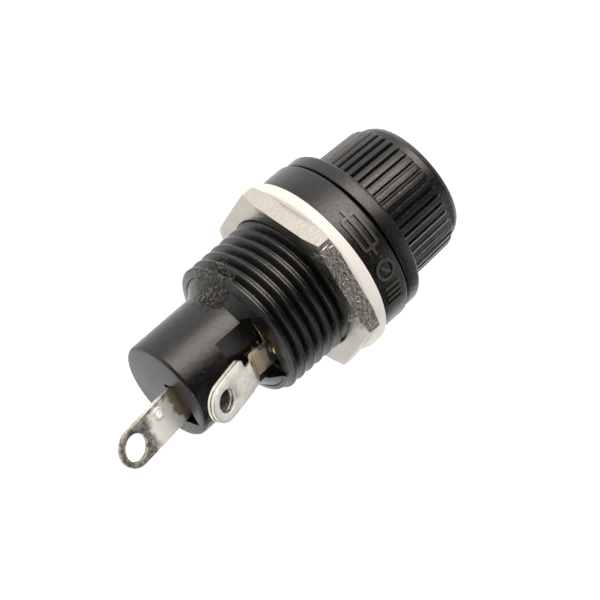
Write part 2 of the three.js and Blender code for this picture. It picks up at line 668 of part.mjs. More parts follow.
function sideTerminal() {
  const neckLength = (SIDE_EYE_Y - SIDE_BEND_Y) / Math.cos(SIDE_FLARE);
  const lift = new THREE.Matrix4().makeTranslation(0, 0, LEAF_THICKNESS + LEAF_SPACE);
  const upper = moved(sideLeaf(), lift);
  const lower = sideLeaf();
  const overlap = 0.5;
  const neck = block(
    [SIDE_NECK_LEFT, -neckLength, 0],
    [SIDE_NECK_RIGHT, overlap - SIDE_LUG_LENGTH, LUG_THICKNESS],
  );
  const lug = upper.add(lower).add(neck);
  const eyeEnd = laidOver(lug, LUG_THICKNESS, SIDE_FLARE, 0, SIDE_EYE_Y, SIDE_EYE_HEIGHT);
  const leaf = block(
    [SIDE_NECK_LEFT, RING_FRONT_Y, SIDE_LEAF_Z],
    [SIDE_NECK_RIGHT, SIDE_BEND_Y + LEAF_THICKNESS, SIDE_LEAF_Z + LEAF_THICKNESS],
  );
  const rivetHole = block(
    [SIDE_NECK_MIDDLE - SIDE_RIVET_RADIUS, SIDE_RIVET_Y - SIDE_RIVET_RADIUS, SIDE_LEAF_Z - 1],
    [SIDE_NECK_MIDDLE + SIDE_RIVET_RADIUS, SIDE_RIVET_Y + SIDE_RIVET_RADIUS, SIDE_LEAF_Z + 1],
  );
  return piece('side_terminal', eyeEnd.add(leaf).subtract(rivetHole), TERMINAL_PLATE);
}

// The rivet's shank stands in the terminal's hole and its head lies on the terminal.
function sideRivet() {
  const shankRadius = SIDE_RIVET_RADIUS - SEAT_GAP;
  const headZ = SIDE_LEAF_Z + LEAF_THICKNESS + SEAT_GAP;
  const body = turned([
    [0, SIDE_LEAF_Z],
    [shankRadius, SIDE_LEAF_Z],
    [shankRadius, headZ],
    [SIDE_RIVET_HEAD, headZ],
    [SIDE_RIVET_HEAD, headZ + LEAF_THICKNESS],
    [0, headZ + LEAF_THICKNESS],
  ], SMALL_FACETS);
  const place = new THREE.Matrix4()
    .makeTranslation(SIDE_NECK_MIDDLE, SIDE_RIVET_Y, 0)
    .multiply(new THREE.Matrix4().makeRotationX(Math.PI / 2));
  return piece('side_rivet', moved(body, place), BRASS);
}

// ---- Tail contact ----
function tailTerminal() {
  const half = TAIL_HALF_WIDTH;
  const flare = radians(TAIL_FLARE_DEG);
  const lean = radians(TAIL_LEAN_DEG);
  const reach = (TAIL_EYE_Y - BODY_END_Y) / Math.cos(flare);
  const outline = new THREE.Shape();
  outline.moveTo(-half, -reach);
  outline.lineTo(half, -reach);
  outline.lineTo(half, 0);
  outline.absarc(0, 0, half, 0, Math.PI, false);
  outline.lineTo(-half, -reach);
  const holes = [
    [0, 0, TAIL_EYE_RADIUS],
    [TAIL_DIMPLE_SIDE, -TAIL_DIMPLE_BACK, TAIL_DIMPLE_RADIUS],
  ];
  const lug = moved(plate(outline, holes, TAIL_THICKNESS), new THREE.Matrix4().makeRotationZ(lean));
  const height = TAIL_HEIGHT + Math.tan(flare) * (TAIL_EYE_Y - BODY_END_Y);
  const eyeOffset = TAIL_OFFSET - Math.sin(lean) * reach;
  const eyeEnd = laidOver(lug, TAIL_THICKNESS, flare, eyeOffset, TAIL_EYE_Y, height);
  const root = block(
    [TAIL_OFFSET - half, FOOT_Y, TAIL_HEIGHT - TAIL_THICKNESS],
    [TAIL_OFFSET + half, BODY_END_Y + TAIL_THICKNESS, TAIL_HEIGHT],
  );
  const inBore = disc(FOOT_RADIUS, FOOT_Y - 1, END_WALL_Y);
  const outside = block(
    [-BEYOND, END_WALL_Y - SEAT_GAP, -BEYOND],
    [BEYOND, TAIL_EYE_Y + BEYOND, BEYOND],
  );
  const foot = disc(FOOT_RADIUS, FOOT_Y, FOOT_Y + TAIL_THICKNESS);
  const cut = block([-BEYOND, FOOT_Y - 1, TAIL_HEIGHT], [BEYOND, END_WALL_Y, BEYOND]);
  const shaped = root.intersect(inBore.add(outside)).add(foot.subtract(cut)).add(eyeEnd);
  return piece('tail_terminal', turnedAbout(shaped, TAIL_TURN_DEG), TERMINAL_PLATE);
}

function contactCup() {
  const rearY = CUP_FRONT_Y + CUP_LENGTH;
  const body = openCup(CUP_RADIUS, CUP_WALL, CUP_FRONT_Y, rearY, 0, SMALL_FACETS);
  return piece('contact_cup', body, BRASS);
}

// The axis of the contact spring's wire.
class SpringCurve extends THREE.Curve {
  constructor(radius, startY, endY, turns) {
    super();
    Object.assign(this, { radius, startY, endY, turns });
  }

  getPoint(t, target = new THREE.Vector3()) {
    const angle = 2 * Math.PI * this.turns * t;
    const y = this.startY + (this.endY - this.startY) * t;
    return target.set(this.radius * Math.sin(angle), y, this.radius * Math.cos(angle));
  }
}

function contactSpring() {
  const startY = CUP_FRONT_Y + CUP_WALL + SEAT_GAP + SPRING_WIRE_RADIUS;
  const endY = FOOT_Y - SEAT_GAP - SPRING_WIRE_RADIUS;
  const section = new THREE.Shape();
  section.absarc(0, 0, SPRING_WIRE_RADIUS, 0, 2 * Math.PI, false);
  const wire = new THREE.ExtrudeGeometry(section, {
    steps: Math.round(SPRING_TURNS * SPRING_FACETS),
    curveSegments: 3,
    bevelEnabled: false,
    extrudePath: new SpringCurve(SPRING_RADIUS, startY, endY, SPRING_TURNS),
  });
  return piece('contact_spring', solid(withPositionOnly(wire)), SPRING_STEEL);
}

// ---- Assembly ----
const group = new THREE.Group();
group.add(
  holderBody(),
  panelNut(),
  panelWasher(),
  capShell(),
  carrierSleeve(),
  fuseClip(),
  clipRivet(),
  fuseGlass(),
  fuseCap('fuse_cap_front', FUSE_FRONT_Y, 1),
  fuseCap('fuse_cap_rear', FUSE_REAR_Y, -1),
  fuseWire(),
  fuseSolder('fuse_solder_front', FUSE_FRONT_Y, 1),
  fuseSolder('fuse_solder_rear', FUSE_REAR_Y, -1),
  sideContactRing(),
  sideTerminal(),
  sideRivet(),
  tailTerminal(),
  contactCup(),
  contactSpring(),
);

export default group;
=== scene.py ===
import math

import bmesh
import bpy
from bpy.props import FloatProperty, FloatVectorProperty, IntProperty, PointerProperty
from mathutils import Matrix, Vector


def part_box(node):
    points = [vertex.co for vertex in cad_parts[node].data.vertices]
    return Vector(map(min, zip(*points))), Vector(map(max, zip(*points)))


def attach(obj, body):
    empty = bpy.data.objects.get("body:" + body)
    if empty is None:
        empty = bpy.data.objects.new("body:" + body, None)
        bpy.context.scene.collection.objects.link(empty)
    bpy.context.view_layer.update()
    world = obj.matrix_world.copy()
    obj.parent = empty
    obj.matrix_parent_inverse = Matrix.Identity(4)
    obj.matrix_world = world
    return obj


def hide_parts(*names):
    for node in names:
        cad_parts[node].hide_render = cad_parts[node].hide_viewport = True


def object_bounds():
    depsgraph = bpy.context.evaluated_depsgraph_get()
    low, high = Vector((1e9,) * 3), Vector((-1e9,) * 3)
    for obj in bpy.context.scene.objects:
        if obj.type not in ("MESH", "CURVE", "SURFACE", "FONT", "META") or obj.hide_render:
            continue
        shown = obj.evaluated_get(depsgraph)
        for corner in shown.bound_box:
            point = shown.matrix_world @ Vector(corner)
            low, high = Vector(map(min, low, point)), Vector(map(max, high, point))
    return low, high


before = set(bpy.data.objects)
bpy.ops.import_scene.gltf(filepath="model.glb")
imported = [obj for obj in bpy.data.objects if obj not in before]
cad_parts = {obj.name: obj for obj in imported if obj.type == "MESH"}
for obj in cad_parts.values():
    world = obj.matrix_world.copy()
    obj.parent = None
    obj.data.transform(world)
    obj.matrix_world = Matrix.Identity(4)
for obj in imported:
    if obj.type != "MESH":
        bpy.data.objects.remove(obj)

bl_info = {
    "name": "Cartridge Fuse Holder",
    "version": (1, 0, 0),
    "blender": (4, 5, 0),
    "location": "View3D > Sidebar > Fuse Holder",
    "description": "Builds the visible pieces of a panel-mount cartridge fuse holder",
    "category": "Add Mesh",
}

# Shapes are drawn in millimetres about the Y axis, with the cap to -Y, and scaled as they finish.
MM = 0.001
CAD_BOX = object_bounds()

ROUND_STEPS = 120  # round the large turned pieces
SMALL_STEPS = 56  # round the fuse and other small pieces
WIRE_STEPS = 16  # round the fuse wire
THREAD_STEPS = 90  # round each turn of a thread
RING_STEPS = 36  # round a raised ring of the marks
DIMPLE_STEPS = 32  # round the rim of the punched dimple
ARC_STEPS = 4  # along a rounded corner
CLOSE = 1e-5  # millimetres within which doubles are merged


# ---- Sizes read from the frame ----
def extent(node):
    """The lowest and highest corner of a CAD node, in millimetres."""
    low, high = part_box(node)
    return low / MM, high / MM


class Span:
    """Where a round CAD node stands on the axis: its two ends and its outer radius."""

    def __init__(self, node):
        low, high = extent(node)
        self.front = low.y
        self.rear = high.y
        self.radius = (high.z - low.z) / 2


BODY = Span("holder_body")
CAP = Span("cap_shell")
NUT = Span("panel_nut")
WASHER = Span("panel_washer")
CARRIER = Span("carrier_sleeve")
CLIP = Span("fuse_clip")
RIVET = Span("clip_rivet")
GLASS = Span("fuse_glass")
FRONT_CAP = Span("fuse_cap_front")
REAR_CAP = Span("fuse_cap_rear")
WIRE = Span("fuse_wire")
FRONT_SOLDER = Span("fuse_solder_front")
REAR_SOLDER = Span("fuse_solder_rear")
RING = Span("side_contact_ring")
CUP = Span("contact_cup")
SIDE_RIVET_LOW, SIDE_RIVET_HIGH = extent("side_rivet")
TAIL_LOW = extent("tail_terminal")[0]

# ---- Sizes of the details ----
THREAD_CREST = 6.15
THREAD_ROOT = 5.55
THREAD_FOOT_WIDTH = 0.86  # shares of the pitch
THREAD_CREST_WIDTH = 0.2
THREAD_FIRST = 0.48  # where the ridge's middle starts, behind the flange
NECK_END = 8.95
SHOULDER_END = 10.0
BARREL_RADIUS = 4.38
BARREL_BORE = 2.9
END_WALL = 0.87
EDGE = 0.15
RIDGE_SINK = 0.12
THREAD_GAP = 0.13
SLIDE_GAP = 0.15
SEAT = 0.05
LEAD_TURNS = 2  # turns by which a groove starts before the thread that runs in it

WINDOW_LEFT, WINDOW_RIGHT, WINDOW_REAR = -1.91, 0.91, 10.9
WELL_FLOOR, LEDGE_HEIGHT = 2.75, 4.59
FLAT_HALF, FLAT_REAR, FLAT_HEIGHT = 3.1, 12.75, 3.32
FLAT_TURN = 5  # degrees about the axis

TAIL_OFFSET = -0.9
TAIL_TURN = 11  # degrees about the axis
OPENING_HALF, OPENING_LOW, OPENING_HIGH = 1.89, 0.5, 2.65

CAP_NECK_ROOT = 4.05
CAP_THREAD_CREST = 4.45
CAP_THREAD_PITCH = 1.5
CAP_THREAD_FOOT = 0.93
CAP_THREAD_TOP = 0.42
CAP_THREAD_TURNS = 3
CAP_FLANGE_REAR = -3.11
CAP_FLANGE_FRONT = -4.51
CAP_BORE = 3.45
CAP_BORE_FRONT = -7.7
RIB_RADIUS = 6.09
RIB_TAPER = 0.965
RIB_END = -9.81
RIM_RADIUS = 5.15

# Middles of the places where a finish changes
GATE_CENTRE = (5.1, 9.15, -0.35)  # torn patch that the gate left on the shoulder
SANDY_SHADED_FLAT = (2.15, 1.6, 7.13)  # sandy flat of the nut, whose dark pits also paint shade on it
TAIL_EYE = (-0.72, 22.0, 1.95)  # dull plate round the eye
TAIL_ROOT_REFLECTION = (-0.6, 15.6, 1.3)  # painted brown reflection on the strip's root at the end wall
TAIL_HIGHLIGHT = (-1.1, 18.3, 1.5)  # painted highlight: a pale, nearly matte plate between the dimple and the root
LUG_FOLD_REFLECTION = (-0.5, 10.5, 3.8)  # painted brown reflection on the folded neck

# colour of the painted highlight on the tail terminal
PAINTED_HIGHLIGHT = (0.95, 0.93, 0.89, 1)
# colour of the painted brown reflections on the terminals
BRASS_REFLECTION_PAINT = (0.5, 0.4, 0.27, 1)
SCUFF = (0.26, 0.24, 0.2, 1)
STAIN = (0.34, 0.29, 0.22, 1)
DARK_SPECKLE = (0.13, 0.12, 0.1, 1)
PALE_SPECKLE = (0.6, 0.56, 0.49, 1)
BLACK = (0, 0, 0, 1)


# ---- Properties ----
class HolderSizes(bpy.types.PropertyGroup):
    thread_pitch: FloatProperty(
        name="Thread pitch",
        description="Advance of the outside thread in one turn",
        default=1.0 * MM,
        unit="LENGTH",
    )
    rib_count: IntProperty(
        name="Ribs",
        description="Number of ribs round the cap",
        default=45,
    )
    rib_depth: FloatProperty(
        name="Rib depth",
        description="Height of the cap's ribs over their grooves",
        default=0.34 * MM,
        unit="LENGTH",
    )
    mark_height: FloatProperty(
        name="Mark height",
        description="How far the raised marks stand out of the flange",
        default=0.14 * MM,
        unit="LENGTH",
    )
    nut_clocking: FloatProperty(
        name="Nut clocking",
        description="Where the nut's first corner stands, from +Z towards +X",
        default=math.radians(46.8),
        subtype="ANGLE",
    )


def colour_property(name, description, value):
    return FloatVectorProperty(
        name=name, description=description, default=value, subtype="COLOR", size=3, min=0, max=1
    )


class HolderColours(bpy.types.PropertyGroup):
    moulding: colour_property("Moulding", "Black moulded plastic", (0.0042, 0.0038, 0.0034))
    nut: colour_property("Nut", "Plating of the nut", (0.47, 0.437, 0.39))
    terminal: colour_property("Terminals", "Plating of the terminals", (0.76, 0.725, 0.65))
    washer: colour_property("Washer", "Off-white plastic", (0.60, 0.565, 0.52))
    brass: colour_property("Brass", "Brass of the inner contacts", (0.66, 0.46, 0.20))
    steel: colour_property("Spring steel", "Clip and spring", (0.50, 0.49, 0.48))
    floor: colour_property("Floor", "Plain pale floor", (0.5, 0.5, 0.5))


def sizes():
    return bpy.context.scene.holder_sizes


def colours():
    return bpy.context.scene.holder_colours


# ---- Shapes ----
def filleted(corners, closed=False):
    """An outline with an arc at each corner that carries a third number, the arc's radius."""
    outline = []
    count = len(corners)
    for i, corner in enumerate(corners):
        point = Vector(corner[:2])
        inner = closed or 0 < i < count - 1
        if len(corner) == 2 or not inner:
            outline.append(point)
            continue
        back = Vector(corners[i - 1][:2]) - point
        ahead = Vector(corners[(i + 1) % count][:2]) - point
        half = back.angle(ahead) / 2
        reach = min(corner[2] / math.tan(half), 0.49 * back.length, 0.49 * ahead.length)
        radius = reach * math.tan(half)
        middle = (back.normalized() + ahead.normalized()).normalized()
        centre = point + middle * (radius / math.sin(half))
        start = (point + back.normalized() * reach - centre).normalized()
        end = (point + ahead.normalized() * reach - centre).normalized()
        for step in range(ARC_STEPS + 1):
            outline.append(centre + radius * start.slerp(end, step / ARC_STEPS))
    return outline


def cleaned(bm):
    """Merges doubles and turns every face outwards."""
    bmesh.ops.remove_doubles(bm, verts=bm.verts, dist=CLOSE)
    bmesh.ops.recalc_face_normals(bm, faces=bm.faces)
    return bm


def turned(corners, steps=ROUND_STEPS):
    """A solid of revolution about Y from (radius, y) corners. It starts and ends on the axis, or
    closes on itself."""
    bm = bmesh.new()
    closed = corners[0][0] > 0
    outline = filleted(corners, closed)
    verts = [bm.verts.new((0, y, radius)) for radius, y in outline]
    follower = verts[1:] + verts[:1] if closed else verts[1:]
    edges = [bm.edges.new(pair) for pair in zip(verts, follower)]
    bmesh.ops.spin(
        bm,
        geom=verts + edges,
        cent=(0, 0, 0),
        axis=(0, 1, 0),
        angle=2 * math.pi,
        steps=steps,
        use_merge=True,
    )
    return cleaned(bm)


def ringed(section, steps):
    """A ring about Z from a closed (radius, z) section."""
    bm = bmesh.new()
    verts = [bm.verts.new((radius, 0, z)) for radius, z in section]
    edges = [bm.edges.new(pair) for pair in zip(verts, verts[1:] + verts[:1])]
    bmesh.ops.spin(
        bm,
        geom=verts + edges,
        cent=(0, 0, 0),
        axis=(0, 0, 1),
        angle=2 * math.pi,
        steps=steps,
        use_merge=True,
    )
    return bm


def ridge(section, pitch, start_y, turns, steps=THREAD_STEPS):
    """A right-hand helical ridge about Y: a closed (radius, along) section carried round."""
    bm = bmesh.new()
    verts = [bm.verts.new((0, start_y + along, radius)) for radius, along in section]
    face = bm.faces.new(verts)
    bmesh.ops.spin(
        bm,
        geom=verts + list(face.edges) + [face],
        cent=(0, 0, 0),
        axis=(0, 1, 0),
        dvec=(0, pitch / steps, 0),
        angle=2 * math.pi * turns,
        steps=round(turns * steps),
        use_merge=False,
    )
    return cleaned(bm)


def ridge_section(root, crest, foot_width, crest_width, sink, rounding):
    """A thread's section, carried inwards by sink so that it joins its core."""
    slope = (foot_width - crest_width) / (crest - root)
    foot = foot_width / 2 + slope * sink / 2
    top = crest_width / 2
    corners = [
        (root - sink, -foot),
        (crest, -top, rounding),
        (crest, top, rounding),
        (root - sink, foot),
    ]
    return filleted(corners, closed=True)


def block(low, high, bevel=0.0):
    """A box between two corners, with its edges rounded."""
    bm = bmesh.new()
    low, high = Vector(low), Vector(high)
    size = high - low
    place = Matrix.Translation((low + high) / 2) @ Matrix.Diagonal((*size, 1))
    bmesh.ops.create_cube(bm, size=1, matrix=place)
    if bevel:
        round_edges(bm, bm.edges[:], bevel)
    return bm


def round_edges(bm, edges, width, segments=2):
    bmesh.ops.bevel(
        bm,
        geom=edges,
        offset=width,
        affect="EDGES",
        segments=segments,
        profile=0.5,
        material=-1,
        clamp_overlap=True,
    )


def sharp_edges(bm, degrees=50):
    return [e for e in bm.edges if e.is_manifold and e.calc_face_angle() > math.radians(degrees)]


def turn_about(bm, degrees):
    """Turns a shape about Y, from +Z towards +X."""
    turn = Matrix.Rotation(math.radians(degrees), 3, "Y")
    bmesh.ops.rotate(bm, cent=(0, 0, 0), matrix=turn, verts=bm.verts)
    return bm


def object_from(name, bm):
    mesh = bpy.data.meshes.new(name)
    bm.to_mesh(mesh)
    bm.free()
    piece = bpy.data.objects.new(name, mesh)
    bpy.context.scene.collection.objects.link(piece)
    return piece


def combined(bm, other, operation):
    """Joins to a shape, cuts from it or keeps what it shares with another."""
    piece = object_from("work", bm)
    tool = object_from("tool", other)
    modifier = piece.modifiers.new("combine", "BOOLEAN")
    modifier.operation = operation
    modifier.solver = "EXACT"
    modifier.object = tool
    graph = bpy.context.evaluated_depsgraph_get()
    result = bmesh.new()
    result.from_mesh(piece.evaluated_get(graph).to_mesh())
    for used in (piece, tool):
        mesh = used.data
        bpy.data.objects.remove(used)
        bpy.data.meshes.remove(mesh)
    bmesh.ops.remove_doubles(result, verts=result.verts, dist=CLOSE)
    return result


def merged(bm, other):
    """Puts another shape's faces in the same mesh."""
    mesh = bpy.data.meshes.new("part")
    other.to_mesh(mesh)
    other.free()
    bm.from_mesh(mesh)
    bpy.data.meshes.remove(mesh)
    return bm


def finished(name, bm, body, slot, stands_for=(), smooth=38):
    """Makes the named piece, in metres, with its finish, riding on its body."""
    bmesh.ops.scale(bm, vec=(MM, MM, MM), verts=bm.verts)
    piece = object_from(name, bm)
    piece.data.shade_smooth()
    piece.data.set_sharp_from_angle(angle=math.radians(smooth))
    piece.data.materials.append(finish(slot))
    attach(piece, body)
    if stands_for:
        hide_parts(*stands_for)
    return piece


# ---- Shader graphs ----
class Graph:
    """Short calls that add and link the nodes of one tree."""

    def __init__(self, tree):
        self.tree = tree

    def add(self, kind, inputs=None, **settings):
        node = self.tree.nodes.new(kind)
        for key, value in settings.items():
            setattr(node, key, value)
        for key, value in (inputs or {}).items():
            self.put(node.inputs[key], value)
        return node

    def put(self, socket, value):
        if isinstance(value, bpy.types.NodeSocket):
            self.tree.links.new(value, socket)
        else:
            socket.default_value = value

    def maths(self, operation, first, second=0.0):
        node = self.add("ShaderNodeMath", {0: first, 1: second}, operation=operation)
        return node.outputs[0]

    def times(self, first, second):
        return self.maths("MULTIPLY", first, second)

    def plus(self, first, second):
        return self.maths("ADD", first, second)

    def highest(self, first, second):
        return self.maths("MAXIMUM", first, second)

    def ramp(self, value, low, high, to_low=0.0, to_high=1.0):
        inputs = {0: value, 1: low, 2: high, 3: to_low, 4: to_high}
        return self.add("ShaderNodeMapRange", inputs).outputs[0]

    def blend(self, amount, first, second):
        node = self.add("ShaderNodeMix", data_type="RGBA")
        self.put(node.inputs[0], amount)
        self.put(node.inputs[6], first)
        self.put(node.inputs[7], second)
        return node.outputs[2]

    def noise(self, vector, scale, detail=3.0, roughness=0.5):
        inputs = {"Vector": vector, "Scale": scale, "Detail": detail, "Roughness": roughness}
        return self.add("ShaderNodeTexNoise", inputs).outputs["Fac"]

    def place(self, stretch=(1, 1, 1)):
        coords = self.add("ShaderNodeTexCoord").outputs["Object"]
        return self.add("ShaderNodeMapping", {"Vector": coords, "Scale": stretch}).outputs[0]


def group_tree(name, inputs, outputs):
    """A new shader group with named inputs {name: default} and named value outputs. Gives its
    graph, where its inputs come in and where its outputs go."""
    tree = bpy.data.node_groups.new(name, "ShaderNodeTree")
    for key, value in inputs.items():
        kind = "NodeSocketVector" if isinstance(value, tuple) else "NodeSocketFloat"
        socket = tree.interface.new_socket(key, in_out="INPUT", socket_type=kind)
        socket.default_value = value
    for key in outputs:
        tree.interface.new_socket(key, in_out="OUTPUT", socket_type="NodeSocketFloat")
    graph = Graph(tree)
    source = graph.add("NodeGroupInput").outputs
    sink = graph.add("NodeGroupOutput").inputs
    return graph, source, sink


def shared_group(build):
    """Builds a shader group once, under its function's name, and hands out the same one again."""

    def group():
        if build.__name__ not in bpy.data.node_groups:
            build(build.__name__)
        return bpy.data.node_groups[build.__name__]

    return group


@shared_group
def surface_grain(name):
    """Fine moulded or plated grain: a coarse lump pattern with finer noise on it."""
    graph, source, sink = group_tree(name, {"Size mm": 0.2, "Pits": 0.3}, ["Height"])
    place = graph.place()
    scale = graph.maths("DIVIDE", 1 / MM, source["Size mm"])
    lumps = graph.noise(place, scale, 4.0, 0.6)
    fine_scale = graph.times(scale, 3.1)
    fine = graph.noise(place, fine_scale, 2.0, 0.5)
    pits = graph.ramp(lumps, 0.42, 0.3)
    height = graph.maths("MULTIPLY_ADD", fine, 0.35)
    graph.tree.links.new(lumps, height.node.inputs[2])
    drop = graph.times(pits, source["Pits"])
    graph.put(sink["Height"], graph.maths("SUBTRACT", height, drop))


@shared_group
def handling(name):
    """Soft smears and fine scratches from handling, for roughness."""
    inputs = {"Size mm": 2.0, "Scratches": 0.5}
    graph, source, sink = group_tree(name, inputs, ["Smear", "Scratch"])
    place = graph.place()
    scale = graph.maths("DIVIDE", 1 / MM, source["Size mm"])
    smear = graph.noise(place, scale, 4.0, 0.55)
    graph.put(sink["Smear"], graph.ramp(smear, 0.35, 0.68))
    lines = []
    for stretch in ((9, 0.7, 2), (0.8, 6, 5)):
        along = graph.place(stretch)
        streak = graph.noise(along, 900, 2.0, 0.5)
        lines.append(graph.ramp(streak, 0.66, 0.74))
    both = graph.highest(lines[0], lines[1])
    graph.put(sink["Scratch"], graph.times(both, source["Scratches"]))


@shared_group
def specks(name):
    """Small separate specks of dust or lint."""
    inputs = {"Spacing mm": 0.8, "Share": 0.12}
    graph, source, sink = group_tree(name, inputs, ["Mask"])
    scale = graph.maths("DIVIDE", 1 / MM, source["Spacing mm"])
    place = graph.place()
    cells = graph.add("ShaderNodeTexVoronoi", {"Vector": place, "Scale": scale})
    dot = graph.ramp(cells.outputs["Distance"], 0.16, 0.08)
    shade = graph.add("ShaderNodeSeparateColor", {0: cells.outputs["Color"]}).outputs[0]
    chosen = graph.maths("LESS_THAN", shade, source["Share"])
    graph.put(sink["Mask"], graph.times(dot, chosen))


@shared_group
def near_point(name):
    """A soft round mask about a point of the holder, with a broken edge."""
    inputs = {"Centre mm": (0.0, 0.0, 0.0), "Reach mm": 2.0, "Fade mm": 0.8}
    graph, source, sink = group_tree(name, inputs, ["Mask"])
    place = graph.place((1 / MM, 1 / MM, 1 / MM))
    gap = graph.add("ShaderNodeVectorMath", {0: place, 1: source["Centre mm"]}, operation="DISTANCE")
    ragged = graph.ramp(graph.noise(place, 1.6, 4.0, 0.6), 0.3, 0.7, -0.4, 0.4)
    distance = graph.plus(gap.outputs["Value"], ragged)
    past = graph.maths("SUBTRACT", distance, source["Reach mm"])
    share = graph.maths("DIVIDE", past, source["Fade mm"])
    graph.put(sink["Mask"], graph.ramp(share, 1.0, 0.0))


def placed(graph, tree, **values):
    node = graph.add("ShaderNodeGroup", node_tree=tree)
    for key, value in values.items():
        node.inputs[key.replace("_", " ")].default_value = value
    return node.outputs


def patch(graph, centre, reach, fade):
    """The mask of one place on a piece."""
    return placed(graph, near_point(), Centre_mm=centre, Reach_mm=reach, Fade_mm=fade)["Mask"]


def rgb(colour, gain=1.0):
    return (*(channel * gain for channel in colour), 1)


def material_graph(name):
    material = bpy.data.materials.new(name)
    material.use_nodes = True
    material.node_tree.nodes.clear()
    graph = Graph(material.node_tree)
    shader = graph.add("ShaderNodeBsdfPrincipled")
    output = graph.add("ShaderNodeOutputMaterial", {"Surface": shader.outputs[0]})
    output.is_active_output = True
    return material, graph, shader.inputs


def bumped(graph, inputs, height, distance, strength=1.0):
    values = {"Height": height, "Distance": distance * MM, "Strength": strength}
    graph.put(inputs["Normal"], graph.add("ShaderNodeBump", values).outputs[0])


def black_moulding():
    """Black moulded plastic: warm black with a polished skin, fine grain, smears and specks, and
    the torn patch that its gate left on the shoulder."""
    material, graph, inputs = material_graph("black_moulding")
    grain = placed(graph, surface_grain(), Size_mm=0.12, Pits=0.3)["Height"]
    marks = placed(graph, handling(), Size_mm=1.6, Scratches=0.8)
    dots = placed(graph, specks(), Spacing_mm=0.75, Share=0.14)["Mask"]
    torn = patch(graph, GATE_CENTRE, 1.6, 0.6)
    lumps = graph.noise(graph.place(), 1 / (0.28 * MM), 6.0, 0.75)
    tone = graph.blend(marks["Smear"], rgb(colours().moulding), rgb(colours().moulding, 1.6))
    flakes = graph.times(torn, graph.ramp(lumps, 0.53, 0.57))
    across = graph.place((1 / MM, 0, 1 / MM))
    radius = graph.add("ShaderNodeVectorMath", {0: across}, operation="LENGTH").outputs["Value"]
    rubbed = graph.ramp(radius, BODY.radius + 0.04, BODY.radius + 0.12)
    light = graph.highest(graph.times(dots, 0.25), flakes)
    light = graph.highest(light, graph.times(rubbed, 0.16))
    graph.put(inputs["Base Color"], graph.blend(light, tone, SCUFF))
    satin = graph.ramp(marks["Smear"], 0, 1, 0.15, 0.25)
    rough = graph.plus(satin, graph.times(marks["Scratch"], 0.14))
    graph.put(inputs["Roughness"], graph.plus(rough, graph.times(torn, 0.06)))
    inputs["IOR"].default_value = 1.5
    height = graph.times(grain, 0.022)
    deep = graph.times(graph.times(torn, lumps), 0.55)
    bumped(graph, inputs, graph.plus(height, deep), 1.0)
    return material


def nut_plating():
    """Dull nickel, warm grey with bright grains, over a casting that is smooth but for one sandy and
    pitted flat. That flat's dark pits are partly its casting and partly painted shade."""
    material, graph, inputs = material_graph("nut_plating")
    grain = placed(graph, surface_grain(), Size_mm=0.13, Pits=0.5)["Height"]
    marks = placed(graph, handling(), Size_mm=2.0, Scratches=0.5)
    coarse = graph.noise(graph.place(), 1 / (0.3 * MM), 2.5, 0.6)
    # painted shade: the flat that faces away from the lights gets dark pits; its sandy bump is the
    # casting's own texture
    sandy_shaded_patch = patch(graph, SANDY_SHADED_FLAT, 3.7, 0.3)
    pits = graph.highest(graph.ramp(coarse, 0.45, 0.6), graph.maths("SUBTRACT", 1.0, sandy_shaded_patch))
    pitted_and_shaded = graph.blend(pits, rgb(colours().nut, 0.42), rgb(colours().nut))
    tone = graph.blend(graph.ramp(grain, 0.45, 0.85), pitted_and_shaded, rgb(colours().nut, 1.15))
    graph.put(inputs["Base Color"], tone)
    inputs["Metallic"].default_value = 1
    satin = graph.ramp(marks["Smear"], 0, 1, 0.27, 0.36)
    graph.put(inputs["Roughness"], graph.plus(satin, graph.times(marks["Scratch"], 0.1)))
    depth = graph.ramp(sandy_shaded_patch, 0, 1, 0.04, 0.16)
    height = graph.plus(graph.times(coarse, depth), graph.times(grain, 0.01))
    bumped(graph, inputs, height, 1.0)
    return material


def washer_plastic():
    """Off-white plastic with a faint cloudiness. A weak glow stands in for the light that comes
    through it."""
    material, graph, inputs = material_graph("washer_plastic")
    grain = placed(graph, surface_grain(), Size_mm=0.3, Pits=0.1)["Height"]
    marks = placed(graph, handling(), Size_mm=1.5, Scratches=0.2)
    cloudy = graph.blend(marks["Smear"], rgb(colours().washer), rgb(colours().washer, 0.95))
    graph.put(inputs["Base Color"], graph.blend(0.45, cloudy, BLACK))
    graph.put(inputs["Roughness"], graph.ramp(marks["Smear"], 0, 1, 0.42, 0.52))
    graph.put(inputs["Emission Color"], cloudy)
    inputs["Emission Strength"].default_value = 0.85
    bumped(graph, inputs, grain, 0.01, 0.4)
    return material


